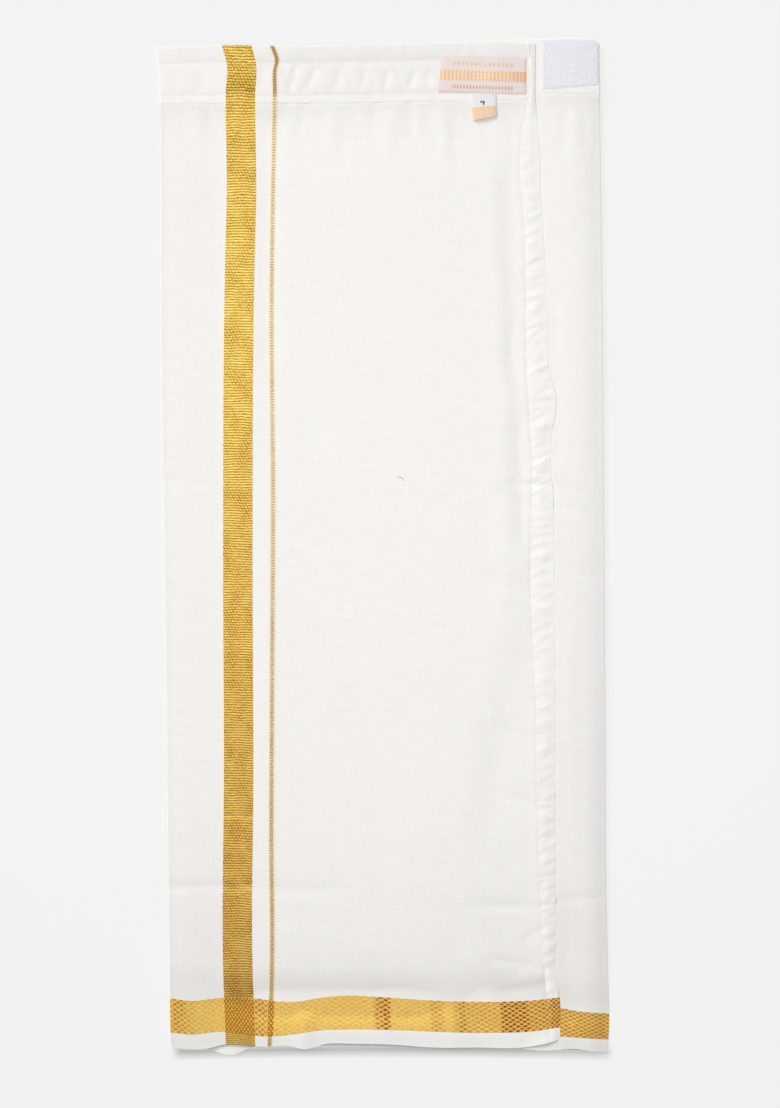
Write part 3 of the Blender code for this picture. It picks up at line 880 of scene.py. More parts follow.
def linear(red: float, green: float, blue: float) -> tuple[float, float, float, float]:
    """Turn a colour as a screen shows it, from 0 to 255, into the one that light is reckoned with.

    Args:
        red: Red.
        green: Green.
        blue: Blue.

    Returns:
        The colour, with an alpha of 1.
    """
    shares = (value / 255 for value in (red, green, blue))
    made = [share / 12.92 if share <= 0.04045 else ((share + 0.055) / 1.055) ** 2.4 for share in shares]
    return (made[0], made[1], made[2], 1.0)


Number = Union["Signal", float]


def operator(operation: str, swapped: bool = False) -> Callable[["Signal", Number], "Signal"]:
    """Make an operator of signals from a math node, its sides swapped where a number stands first."""
    return lambda one, other: one.wiring.maths(operation, *((other, one) if swapped else (one, other)))


class Signal:
    """A value or colour that changes over a surface, so that sums in a node tree are written as sums."""

    def __init__(self, wiring: "Wiring", socket: bpy.types.NodeSocket) -> None:
        """Wrap an output socket of a node."""
        self.wiring = wiring
        self.socket = socket

    __add__, __radd__ = operator("ADD"), operator("ADD", swapped=True)
    __sub__, __rsub__ = operator("SUBTRACT"), operator("SUBTRACT", swapped=True)
    __mul__, __rmul__ = operator("MULTIPLY"), operator("MULTIPLY", swapped=True)
    __truediv__, __pow__ = operator("DIVIDE"), operator("POWER")
    most, least = operator("MAXIMUM"), operator("MINIMUM")

    def absolute(self) -> "Signal":
        """Drop the sign."""
        return self.wiring.maths("ABSOLUTE", self)

    def clamped(self) -> "Signal":
        """Keep it from 0 to 1."""
        return self.most(0.0).least(1.0)

    def over(self, low: float, high: float) -> "Signal":
        """Rise from 0 at low to 1 at high."""
        return ((self - low) / (high - low)).clamped()

    def wave(self, pitch: Number) -> "Signal":
        """Make a wave from -1 to 1 that repeats each pitch."""
        return self.wiring.maths("COSINE", self / pitch * (2 * math.pi))

    def ridged(self, pitch: Number) -> "Signal":
        """Make a wave from 0 to 1 that repeats each pitch."""
        return self.wave(pitch) * 0.5 + 0.5


class Wiring:
    """Places nodes in a tree and links them."""

    def __init__(self, tree: bpy.types.NodeTree) -> None:
        """Work on a tree."""
        self.tree = tree

    def node(self, kind: str, **settings: Any) -> bpy.types.Node:
        """Add a node with some settings.

        Args:
            kind: The node's type.
            settings: Its settings, by name.

        Returns:
            The node.
        """
        made = self.tree.nodes.new(kind)
        for name, value in settings.items():
            setattr(made, name, value)
        return made

    def feed(self, socket: bpy.types.NodeSocket, value: Any) -> None:
        """Link a signal to a socket, or set the socket to a plain value.

        Args:
            socket: The input socket.
            value: The signal or value.
        """
        if isinstance(value, Signal):
            self.tree.links.new(value.socket, socket)
        else:
            socket.default_value = value

    def maths(self, operation: str, *values: Number) -> Signal:
        """Reckon with values or signals.

        Args:
            operation: What is reckoned.
            values: What it is reckoned from.

        Returns:
            The result.
        """
        made = self.node("ShaderNodeMath", operation=operation)
        for socket, value in zip(made.inputs, values):
            self.feed(socket, value)
        return Signal(self, made.outputs[0])

    def place(self, across: Number, along: Number, above: Number = 0.0) -> Signal:
        """Put a point together.

        Args:
            across: Its first coordinate.
            along: Its second one.
            above: Its third one.

        Returns:
            The point.
        """
        made = self.node("ShaderNodeCombineXYZ")
        for socket, value in zip(made.inputs, (across, along, above)):
            self.feed(socket, value)
        return Signal(self, made.outputs[0])

    def noise(self, place: Signal, scale: float, detail: float) -> Signal:
        """Make soft noise from 0 to 1.

        Args:
            place: Where it is read.
            scale: How many bumps it has in one unit.
            detail: How many finer layers it has.

        Returns:
            The noise.
        """
        made = self.node("ShaderNodeTexNoise")
        for label, value in (("Vector", place), ("Scale", scale), ("Detail", detail)):
            self.feed(made.inputs[label], value)
        return Signal(self, made.outputs["Fac"])

    def blend(self, share: Number, first: Union[Signal, Colour], second: Union[Signal, Colour]) -> Signal:
        """Blend two colours.

        Args:
            share: The share of the second one.
            first: A signal, or a plain colour as a screen shows it.
            second: The same.

        Returns:
            The blend.
        """
        made = self.node("ShaderNodeMix", data_type="RGBA")
        self.feed(made.inputs["Factor"], share)
        for socket, colour in zip((made.inputs[6], made.inputs[7]), (first, second)):
            self.feed(socket, colour if isinstance(colour, Signal) else linear(*colour))
        return Signal(self, made.outputs[2])

    def group(self, tree: bpy.types.NodeTree, **values: Any) -> dict[str, Signal]:
        """Place a shared group with its own values.

        Args:
            tree: The group.
            values: A value or a signal for each of its inputs, by name, with _ for a space.

        Returns:
            Its outputs, by name.
        """
        made = self.node("ShaderNodeGroup", node_tree=tree)
        for name, value in values.items():
            self.feed(made.inputs[name.replace("_", " ")], value)
        return {socket.name: Signal(self, socket) for socket in made.outputs}


@dataclass(frozen=True)
class Woven:
    """The cloth as a finish reads it: the place of each point across and along it, in millimetres."""

    wiring: Wiring
    across: Signal
    along: Signal

    def cloud(self, across: float, along: float, above: float = 0.0, detail: float = 1.0) -> Signal:
        """Make soft noise from 0 to 1, with so many bumps in a millimetre across and along the cloth."""
        place = self.wiring.place(self.across * across, self.along * along, above)
        return self.wiring.noise(place, 1.0, detail)

    def near(self, middle: float, reach: float) -> Signal:
        """Mark a short stretch along the cloth, 1 in its middle."""
        return (1.0 - (self.along - middle).absolute() / reach).clamped()

    def low(self) -> Signal:
        """Say how low on the garment a point lies, from 0 in the upper part to 1 at the foot."""
        return 1.0 - self.along.over(10.0, 380.0)

    def in_casing(self) -> Signal:
        """Mark the cloth that is turned over into the waist casing."""
        return self.along.over(CASING_THREAD + 3.5, CASING_THREAD + 5.5)


class Surface:
    """A new material whose shader is fed by the names of its sockets."""

    def __init__(self, name: str) -> None:
        """Start the material.

        Args:
            name: The material's name.
        """
        self.material = bpy.data.materials.new(name)
        self.material.use_nodes = True
        self.wiring = Wiring(self.material.node_tree)
        self.shader = self.material.node_tree.nodes["Principled BSDF"]

    def cloth(self) -> Woven:
        """Read the place on the woven cloth.

        Returns:
            The cloth.
        """
        spot = self.wiring.node("ShaderNodeUVMap", uv_map=CLOTH_MAP)
        parts = self.wiring.node("ShaderNodeSeparateXYZ")
        self.wiring.tree.links.new(spot.outputs["UV"], parts.inputs[0])
        across, along = (Signal(self.wiring, parts.outputs[i]) / MM for i in (0, 1))
        return Woven(self.wiring, across, along)

    def give(self, **values: Any) -> None:
        """Feed sockets of the shader, with _ for a space in their names."""
        for name, value in values.items():
            self.wiring.feed(self.shader.inputs[name.replace("_", " ")], value)

    def emboss(self, height: Signal) -> None:
        """Raise the surface.

        Args:
            height: How high each point is, in metres.
        """
        bump = self.wiring.node("ShaderNodeBump")
        self.wiring.feed(bump.inputs["Distance"], 1.0)
        self.wiring.feed(bump.inputs["Height"], height)
        self.give(Normal=Signal(self.wiring, bump.outputs["Normal"]))


class SharedGroup:
    """A node group with named inputs and outputs, built once for all the materials that use it."""

    def __init__(self, name: str, inputs: dict[str, float], outputs: Sequence[str]) -> None:
        """Start the group.

        Args:
            name: Its name.
            inputs: The name and the usual value of each input.
            outputs: The name of each output.
        """
        self.tree = bpy.data.node_groups.new(name, "ShaderNodeTree")
        for label, value in inputs.items():
            socket = self.tree.interface.new_socket(name=label, in_out="INPUT", socket_type="NodeSocketFloat")
            socket.default_value = value
        for label in outputs:
            self.tree.interface.new_socket(name=label, in_out="OUTPUT", socket_type="NodeSocketFloat")
        self.wiring = Wiring(self.tree)
        entry = self.wiring.node("NodeGroupInput")
        self.inputs = {socket.name: Signal(self.wiring, socket) for socket in entry.outputs if socket.name}
        self.exit = self.wiring.node("NodeGroupOutput")

    def give(self, label: str, value: Signal) -> None:
        """Link a signal to one of the group's outputs."""
        self.wiring.feed(self.exit.inputs[label], value)


def plain_weave_group() -> bpy.types.NodeTree:
    """Build the plain weave: crossing threads of uneven thickness, with slubs.

    Returns:
        The group. Height is from 0 to 1, and Shade says how much light a thread sends back, about 0.5.
    """
    group = SharedGroup("plain weave", {"Across": 0.0, "Along": 0.0, "Pitch": 0.4}, ("Height", "Shade"))
    across, along, pitch = group.inputs.values()
    cloth = Woven(group.wiring, across, along)
    warp_drift = cloth.cloud(0.9, 0.02, detail=2.0)
    weft_drift = cloth.cloud(0.02, 0.9, 7.0, 2.0)
    warp = (across + warp_drift * 1.2).wave(pitch * 2.0)
    weft = (along + weft_drift * 1.2).wave(pitch * 2.0)
    over = warp * weft
    warp_height = warp.absolute() * (0.6 + over * 0.4)
    weft_height = weft.absolute() * (0.6 - over * 0.4)
    height = warp_height.most(weft_height)
    slub = cloth.cloud(0.9, 0.1, 3.0, 3.0) * 0.42 + cloth.cloud(0.07, 1.0, 11.0, 3.0) * 0.58
    group.give("Height", (height * 0.4 + slub * 0.8).clamped())
    group.give("Shade", (slub * 0.92 + height * 0.08).clamped())
    return group.tree


def zari_thread_group() -> bpy.types.NodeTree:
    """Build the glitter of metal thread: fine uneven threads, with dull and bright stretches.

    Returns:
        The group. Glint is from 0 to 1, about 0.5, and Patch marks the bright stretches.
    """
    group = SharedGroup("zari thread", {"Across": 0.0, "Along": 0.0}, ("Glint", "Patch"))
    cloth = Woven(group.wiring, *group.inputs.values())
    warp = cloth.cloud(3.2, 0.55)
    weft = cloth.cloud(0.4, 2.6, 5.0)
    patch = cloth.cloud(0.11, 0.07, 9.0, 2.0)
    group.give("Glint", (0.5 + (warp - 0.5) * 1.5 + (weft - 0.5) * 1.1).clamped())
    group.give("Patch", patch.over(0.35, 0.65))
    return group.tree


@dataclass(frozen=True)
class CottonFinish:
    """White plain-woven cotton with gold thread woven in along the side and the hem."""

    bright: Colour = (247, 245, 242)
    dull: Colour = (238, 235, 231)
    # painted shade: the grey that the cotton is darkened towards
    seam: Colour = (206, 202, 196)
    gold_bright: Colour = (255, 232, 140)
    gold: Colour = (232, 195, 87)
    gold_dark: Colour = (156, 111, 30)
    # painted shade: the darker gold that the side band turns towards lower down
    gold_painted_shade: Colour = (200, 124, 82)
    border_bright: Colour = (252, 220, 132)
    border_gold: Colour = (244, 201, 101)
    border_dark: Colour = (168, 108, 26)
    heart_bright: Colour = (252, 202, 112)
    heart: Colour = (222, 162, 74)
    heart_dark: Colour = (146, 88, 10)
    crossing_bright: Colour = (252, 206, 92)
    crossing_dark: Colour = (168, 98, 0)
    thin_bright: Colour = (250, 240, 205)
    thin_dark: Colour = (172, 140, 92)
    thin_fringe: Colour = (248, 236, 204)
    thread_pitch: float = 0.36
    weave_relief: float = 0.015
    rib_pitch: float = 1.52
    rib_relief: float = 0.09
    lozenge: Pair = (4.6, 2.9)
    crossing: Pair = (2.1, 3.0)
    dark_places: tuple[tuple[float, float, float], ...] = (
        (5.0, 4.5, 0.3),
        (9.0, 7.5, 0.2),
        (58.5, 5.0, 0.5),
        (125.6, 2.2, 0.6),
        (129.9, 2.0, 1.0),
        (158.0, 3.7, 0.35),
        (170.5, 3.6, 0.3),
        (181.0, 11.0, 0.3),
        (201.3, 8.3, 1.0),
        (217.0, 7.5, 0.6),
        (229.5, 5.0, 0.9),
        (405.0, 16.0, 0.55),
    )  # where the hem border's lozenges are dark: middle, half width and strength

    thin_edge: Pair = (-1.1, 3.6)  # the thin line from its thread on: start and width
    thin_core: Pair = (-0.4, 2.2)  # its core, the same way
    first_crease_highlight: Pair = (86.5, 3.0)  # painted highlight along a pressed crease across the side band: where it lies, and its reach
    second_crease_highlight: Pair = (129.5, 1.5)

    def ribs(self, cloth: Woven, patch: Signal) -> Signal:
        """Draw the ribs of the side band, closer together lower down and broken into dots in patches.

        Args:
            cloth: The cloth.
            patch: Where the ribs are broken.

        Returns:
            The pattern, 1 on the ribs.
        """
        sag = cloth.cloud(0.09, 0.05) * 1.6
        stretch = (cloth.along - 260.0).most(0.0)
        jitter = cloth.cloud(0.35, 0.5, 3.0) * 0.7
        phase = cloth.along - stretch * stretch * 0.0002 + sag + jitter
        dots = (cloth.across + phase * 0.5).ridged(1.9)
        return phase.ridged(self.rib_pitch) ** 0.8 * (1.0 - patch * (1.0 - dots) * 0.7)

    def lozenges(self, cloth: Woven) -> Signal:
        """Draw the hem border's lozenges.

        Args:
            cloth: The cloth.

        Returns:
            The pattern: 0 in the heart of each lozenge and 1 on the threads between them.
        """
        wander = cloth.cloud(0.05, 0.12, 2.0) * 1.8
        loose = cloth.cloud(0.4, 0.6, 4.0)
        wide = (cloth.across + wander + loose * 1.6).wave(self.lozenge[0])
        tall = (cloth.along + wander * 0.4 + loose * 0.8).wave(self.lozenge[1])
        heart = ((wide + tall) * 0.5).absolute()
        return 1.0 - heart.over(0.14, 0.6)

    def contrast(self, across: Signal) -> Signal:
        """Say how dark the lozenges are along the border.

        Args:
            across: The place along the border.

        Returns:
            From 0 where they are washed out to 1.
        """
        total = across * 0.0
        for middle, half_width, strength in self.dark_places:
            total = total + ((half_width - (across - middle).absolute()) / 2.5 + 0.5).clamped() * strength
        return total.clamped()

    def border(self, cloth: Woven, hearts: Signal) -> Signal:
        """Draw the hem border: lozenges in its dark places, and dashes and sparkle between them.

        Args:
            cloth: The cloth.
            hearts: How dark the lozenges are.

        Returns:
            The pattern, from 0 in the dark to 1.
        """
        dashes = cloth.cloud(0.45, 1.7, 14.0).over(0.25, 0.75)
        sparkle = cloth.cloud(1.3, 2.1, 21.0).over(0.32, 0.72)
        plain = 0.3 + dashes * 0.38 + sparkle * 0.34
        return plain + (self.lozenges(cloth) - plain) * (0.24 + hearts * 0.76)

    def dots(self, cloth: Woven) -> Signal:
        """Draw the bright dots of the crossing."""
        product = cloth.across.wave(self.crossing[0]) * cloth.along.wave(self.crossing[1])
        return product.over(0.1, 0.75)

    def within(self, place: Signal, start: float, width: float, fray: Signal, soft: float = 0.12) -> Signal:
        """Mark a band of the cloth, with a slightly frayed edge."""
        off = (place - (start + width / 2)).absolute()
        return ((width / 2 - off + fray) / soft + 0.5).clamped()

    def gilded(self, wiring: Wiring, shine: Signal, dark: Colour, middling: Colour, bright: Colour) -> Signal:
        """Colour metal thread by its shine, from dark over middling to bright."""
        lower = wiring.blend(shine.over(0.0, 0.5), dark, middling)
        return wiring.blend(shine.over(0.5, 1.0), lower, bright)

    def side_colour(self, cloth: Woven, ribs: Signal, glint: Signal) -> Signal:
        """Colour the side band, with worn patches, painted highlights along pressed creases, less shine over
        the casing's stitches, and painted shade towards its foot.

        Args:
            cloth: The cloth.
            ribs: The band's ribs.
            glint: The glitter of its thread.

        Returns:
            The colour.
        """
        worn = cloth.cloud(0.03, 0.008, 6.0).over(0.3, 0.7)
        low, in_casing = cloth.low(), cloth.in_casing()
        over_stitches = cloth.near(CASING_THREAD + 9.0, 8.0) * in_casing
        # painted highlight: the band brightens along the pressed creases
        pressed = cloth.near(*self.first_crease_highlight) * (0.3 + cloth.across.over(44.0, 51.0) * 0.7)
        under_border = 1.0 - cloth.along.over(-1.0, 0.0)
        # low: painted shade, the shine drops towards the band's foot
        shine = ribs * 0.88 + glint * 0.62 + 0.06 - low * 0.15 - in_casing * 0.02 - worn * 0.06
        shine = shine + pressed * 0.4 + cloth.near(*self.second_crease_highlight) * 0.3
        shine = shine + glint * in_casing * 0.4 - over_stitches * 0.22 + under_border * 0.14
        colour = self.gilded(cloth.wiring, shine, self.gold_dark, self.gold, self.gold_bright)
        # painted shade: blend towards the darker gold lower down
        return cloth.wiring.blend(low * 0.2, colour, self.gold_painted_shade)

    def hem_colour(self, wiring: Wiring, shine: Signal, hearts: Signal) -> Signal:
        """Colour the hem border, with a deeper gold where its lozenges are dark.

        Args:
            wiring: The material's tree.
            shine: The shine of its thread.
            hearts: How dark the lozenges are.

        Returns:
            The colour.
        """
        colour = self.gilded(wiring, shine, self.border_dark, self.border_gold, self.border_bright)
        heart_colour = self.gilded(wiring, shine, self.heart_dark, self.heart, self.heart_bright)
        return wiring.blend(hearts, colour, heart_colour)

    def thin_colour(self, cloth: Woven, ribs: Signal, glint: Signal, fray: Signal) -> Signal:
        """Colour the thin line, pale at its fringe.

        Args:
            cloth: The cloth.
            ribs: The ribs of the side band, which run on into it.
            glint: The glitter of its thread.
            fray: How its edge wavers.

        Returns:
            The colour.
        """
        start, width = self.thin_core
        core = self.within(cloth.across, THIN_ZARI_THREAD + start, width, fray * 0.3, 0.5)
        # painted shade: cloth.low() darkens the thin line towards the foot
        shine = (ribs * 0.7 + glint * 0.5 + 0.22 - cloth.low() * 0.3 - cloth.in_casing() * 0.55).clamped()
        colour = cloth.wiring.blend(shine, self.thin_dark, self.thin_bright)
        return cloth.wiring.blend(core, self.thin_fringe, colour)

    def make(self) -> Material:
        """Build the material.

        Returns:
            The material.
        """
        surface = Surface("white cotton with zari")
        cloth, wiring = surface.cloth(), surface.wiring
        weave = wiring.group(WEAVE, Across=cloth.across, Along=cloth.along, Pitch=self.thread_pitch)
        zari = wiring.group(ZARI, Across=cloth.across, Along=cloth.along)
        glint = zari["Glint"] - 0.5
        fray = (cloth.cloud(0.8, 0.8, detail=2.0) - 0.5) * 0.5
        start, width = self.thin_edge
        side = self.within(cloth.across, SIDE_ZARI_START, SIDE_ZARI, fray)
        thin = self.within(cloth.across, THIN_ZARI_THREAD + start, width, fray * 0.4, 0.6)
        hem = self.within(cloth.along, 0.0, BORDER_HEIGHT, fray)
        gold = side.most(thin).most(hem)

        ribs = self.ribs(cloth, zari["Patch"])
        hearts = self.contrast(cloth.across)
        border = self.border(cloth, hearts)
        crossing_shine = (self.dots(cloth) * 0.85 + glint * 0.7 + 0.16).clamped()
        crossing = wiring.blend(crossing_shine, self.crossing_dark, self.crossing_bright)
        side_colour = wiring.blend(hem, self.side_colour(cloth, ribs, glint), crossing)
        thin_colour = wiring.blend(hem, self.thin_colour(cloth, ribs, glint, fray), crossing)
        hem_colour = self.hem_colour(wiring, border * 0.84 + glint * 0.5 + 0.04, hearts)
        gold_colour = wiring.blend(thin, wiring.blend(side, hem_colour, side_colour), thin_colour)

        cotton = wiring.blend(weave["Shade"].over(0.24, 0.68), self.dull, self.bright)
        # painted shade: darken the cotton towards the grey by each point's painted shade
        shade = wiring.node("ShaderNodeAttribute", attribute_name=PAINTED_SHADE)
        shaded = wiring.blend(Signal(wiring, shade.outputs["Fac"]), cotton, self.seam)
        metal = side.most(hem).most(thin * 0.3)
        surface.give(
            Base_Color=wiring.blend(gold, shaded, gold_colour),
            Metallic=metal * 0.55,
            Roughness=0.93 - metal * (0.36 + zari["Glint"] * 0.16),
            Sheen_Weight=0.12,
            Sheen_Roughness=0.5,
            Specular_IOR_Level=0.25,
        )
        pattern = border * (1.0 - side) + ribs * side
        cloth_height = weave["Height"] * (self.weave_relief * MM)
        gold_height = (pattern + zari["Glint"] * 0.5) * (self.rib_relief * MM)
        surface.emboss(cloth_height * (1.0 - gold) + gold_height * gold)
        return surface.material


@dataclass(frozen=True)
class TapeFinish:
    """Brushed nylon loops, slightly blue."""

    bright: Colour = (238, 237, 243)
    dull: Colour = (226, 224, 232)
    loop: float = 0.7
    relief: float = 0.1

    def make(self) -> Material:
        """Build the material.

        Returns:
            The material.
        """
        surface = Surface("loop tape")
        cloth, wiring = surface.cloth(), surface.wiring
        loops = wiring.node("ShaderNodeTexVoronoi", feature="SMOOTH_F1")
        wiring.feed(loops.inputs["Vector"], wiring.place(cloth.across / self.loop, cloth.along / self.loop))
        wiring.feed(loops.inputs["Scale"], 1.0)
        curl = 1.0 - Signal(wiring, loops.outputs["Distance"]).over(0.1, 0.8)
        fibre = cloth.cloud(2.2, 2.2, detail=3.0)
        nap = cloth.cloud(0.12, 0.12, detail=2.0)
        share = (curl * 0.45 + fibre * 0.35 + nap * 0.35).clamped()
        surface.give(
            Base_Color=wiring.blend(share, self.dull, self.bright),
            Roughness=0.95,
            Sheen_Weight=0.35,
            Sheen_Roughness=0.6,
        )
        surface.emboss((curl * 0.7 + fibre * 0.5) * (self.relief * MM))
        return surface.material


@dataclass(frozen=True)
class LabelFinish:
    """Pale damask-woven label: a ribbed orange band between two rows of small woven lozenges."""

    ground: Colour = (242, 229, 225)
    ground_dull: Colour = (230, 212, 208)
    orange: Colour = (228, 182, 138)
    orange_bright: Colour = (250, 222, 194)
    upper_mark: Colour = (228, 198, 172)
    lower_mark: Colour = (210, 172, 148)
    frame_colour: Colour = (226, 202, 204)
    width: float = 52.5
    height: float = 22.0
    band: Pair = (7.6, 13.6)
    upper_row: float = 17.4
    lower_row: float = 3.7
    rib_pitch: float = 2.3
    margin: float = 7.5  # at both ends of a row of marks
    frame_inset: float = 0.75
    relief: float = 0.11

    def row_of_marks(self, cloth: Woven, middle: float, pitch: float, tall: float) -> Signal:
        """Mark a row of small lozenges, clear of the label's ends.

        Args:
            cloth: The label's cloth.
            middle: The row's height on the label.
            pitch: Distance from lozenge to lozenge.
            tall: Half the height of a lozenge.

        Returns:
            1 on the lozenges.
        """
        beside = cloth.across.ridged(pitch)
        off = (cloth.along - middle).absolute() / tall
        inner = (self.width / 2 - self.margin - (cloth.across - self.width / 2).absolute()).over(0.0, 0.5)
        return (beside - off).over(0.0, 0.25) * inner

    def make(self) -> Material:
        """Build the material.

        Returns:
            The material.
        """
        surface = Surface("woven label")
        cloth, wiring = surface.cloth(), surface.wiring
        across, along = cloth.across, cloth.along
        weave = wiring.group(WEAVE, Across=across, Along=along, Pitch=0.3)
        twill = (across + along * 0.8).ridged(0.9)
        ribs = across.ridged(self.rib_pitch)
        fade = cloth.cloud(0.12, 0.3, detail=2.0)
        checks = along.ridged(1.9) * across.over(18.0, 21.0) * (1.0 - across.over(30.0, 33.0))
        strand = (ribs * 0.6 + checks * 0.25 + fade * 0.5 - across.over(42.0, 49.0) * 0.35).clamped()
        band_colour = wiring.blend(strand, self.orange, self.orange_bright)
        start, end = self.band
        in_band = ((end - start) / 2 - (along - (start + end) / 2).absolute()).over(-0.1, 0.1)
        upper = self.row_of_marks(cloth, self.upper_row, 2.7, 1.7) * fade.over(0.3, 0.5)
        lower = self.row_of_marks(cloth, self.lower_row, 1.9, 1.6)
        across_off = self.width / 2 - (across - self.width / 2).absolute()
        along_off = self.height / 2 - (along - self.height / 2).absolute()
        edge = 1.0 - (across_off.least(along_off) - self.frame_inset).absolute().over(0.12, 0.4)
        colour = wiring.blend(twill * 0.5 + weave["Shade"] * 0.5, self.ground_dull, self.ground)
        colour = wiring.blend(upper * 0.85, colour, self.upper_mark)
        colour = wiring.blend(lower * 0.85, colour, self.lower_mark)
        colour = wiring.blend(edge * 0.75, colour, self.frame_colour)
        surface.give(
            Base_Color=wiring.blend(in_band, colour, band_colour),
            Roughness=0.72 - in_band * 0.14,
            Sheen_Weight=0.2,
        )
        raised = (upper + lower) * 0.5 + in_band * (0.5 + ribs * 0.6) + weave["Height"] * 0.5 + twill * 0.25
        surface.emboss(raised * (self.relief * MM))
        return surface.material


@dataclass(frozen=True)
class TabFinish:
    """Folded size tab: white satin with a peach band across its foot."""

    white: Colour = (242, 240, 240)
    peach: Colour = (252, 222, 192)
    peach_dark: Colour = (238, 196, 160)
    white_dull: Colour = (232, 230, 234)
    band_top: float = 6.9
    relief: float = 0.06

    def make(self) -> Material:
        """Build the material.

        Returns:
            The material.
        """
        surface = Surface("size tab")
        cloth, wiring = surface.cloth(), surface.wiring
        weave = wiring.group(WEAVE, Across=cloth.across, Along=cloth.along, Pitch=0.28)
        ribs = cloth.along.ridged(0.75)
        fade = cloth.cloud(0.35, 0.5, detail=2.0)
        peach = wiring.blend((ribs * 0.4 + fade * 0.7).clamped(), self.peach_dark, self.peach)
        white = wiring.blend(weave["Shade"], self.white_dull, self.white)
        in_band = 1.0 - cloth.along.over(self.band_top - 0.15, self.band_top + 0.15)
        surface.give(Base_Color=wiring.blend(in_band, white, peach), Roughness=0.6 - weave["Height"] * 0.1)
        surface.emboss((weave["Height"] + ribs * in_band) * (self.relief * MM))
        return surface.material


@dataclass(frozen=True)
class ThreadFinish:
    """Twisted thread of one colour, a little lighter and darker along its length."""

    name: str
    colour: Colour
    dark: Colour
    rough: float = 0.8
    twist: float = 2600.0  # bumps in a metre
    relief: float = 0.08

    def make(self) -> Material:
        """Build the material.

        Returns:
            The material.
        """
        surface = Surface(self.name)
        spot = surface.wiring.node("ShaderNodeTexCoord")
        fibre = surface.wiring.noise(Signal(surface.wiring, spot.outputs["Object"]), self.twist, 1.0)
        surface.give(Base_Color=surface.wiring.blend(fibre, self.dark, self.colour), Roughness=self.rough)
        surface.emboss(fibre * (self.relief * MM))
        return surface.material


WEAVE = plain_weave_group()
ZARI = zari_thread_group()


# -------- Sewing --------


@dataclass(frozen=True)
class Stitching:
    """Rows of lock stitches, each stitch a short arched thread with its ends pulled into the cloth."""

    pitch: float = 3.2
    share: float = 0.74  # of the pitch that a stitch covers
    radius: float = 0.17
    arch: float = 0.24
    proud: float = 0.06
    sunk: float = 0.22  # how much deeper than the highest stitches the lowest ones lie
    sections: int = 5

    def one_stitch(self) -> tuple[Array, list[tuple[int, ...]]]:
        """Model one stitch along x, one unit long.

        Returns:
            Its points, with y and z in mm, and its faces.
        """
        deselect()
        upright_to_x = (0.0, math.pi / 2, 0.0)
        bpy.ops.mesh.primitive_cylinder_add(vertices=6, radius=1.0, depth=1.0, rotation=upright_to_x)
        model = bpy.context.object
        bpy.ops.object.transform_apply(location=False, rotation=True, scale=False)
        bpy.ops.object.mode_set(mode="EDIT")
        for cut in range(1, self.sections):
            bpy.ops.mesh.select_all(action="SELECT")
            middle = cut / self.sections - 0.5
            bpy.ops.mesh.bisect(plane_co=(middle, 0.0, 0.0), plane_no=(1.0, 0.0, 0.0))
        bpy.ops.object.mode_set(mode="OBJECT")
        points = np.array([vertex.co for vertex in model.data.vertices], float)
        faces = [tuple(face.vertices) for face in model.data.polygons]
        bpy.data.objects.remove(model)
        end = np.abs(2 * points[:, 0])
        points[:, 1:] *= self.radius * (1 - 0.45 * end**3)[:, None]
        points[:, 2] += self.proud - self.arch * end**2
        return points, faces

    def sew(
        self,
        name: str,
        routes: Sequence[tuple[Array, Array]],
        height: HeightAt,
        finish: Material,
        seed: int,
    ) -> None:
        """Sew rows of stitches as one piece.

        Args:
            name: The piece's name.
            routes: The x and y of points along each row.
            height: The height of the cloth that they are sewn on.
            finish: The thread's material.
            seed: Which unevenness the stitches have.
        """
        model, faces = self.one_stitch()
        uneven = np.random.default_rng(seed)
        points, polygons = [], []
        for x, y in routes:
            run = np.concatenate([[0.0], np.cumsum(np.hypot(np.diff(x), np.diff(y)))])
            count = max(int(run[-1] / self.pitch), 1)
            starts = (np.arange(count) + 0.12) * run[-1] / count
            for start in starts:
                length = self.share * self.pitch * uneven.uniform(0.88, 1.08)
                ends = np.clip([start, start + length], 0, run[-1])
                ax, bx = np.interp(ends, run, x)
                ay, by = np.interp(ends, run, y) + uneven.uniform(-0.07, 0.07, 2)
                middle = np.array([(ax + bx) / 2, (ay + by) / 2])
                heading = np.array([bx - ax, by - ay])
                level = height(middle[None, 0], middle[None, 1])[0] - self.sunk * uneven.uniform()
                span = np.hypot(*heading)
                heading = heading / max(span, 1e-6)
                beside = np.array([-heading[1], heading[0]])
                flat = middle + model[:, :1] * span * heading + model[:, 1:2] * beside
                polygons += [tuple(corner + len(points) * len(model) for corner in face) for face in faces]
                points.append(np.column_stack([flat, model[:, 2] + level]))
        mesh = bpy.data.meshes.new(name)
        mesh.from_pydata(np.concatenate(points) * MM, [], polygons)
        mesh.materials.append(finish)
        piece = put(name, mesh)
        smooth(piece, 80.0)
        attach(piece, BODY)
        log.info("%s: %d stitches", name, len(points))


# -------- The sewn pieces --------


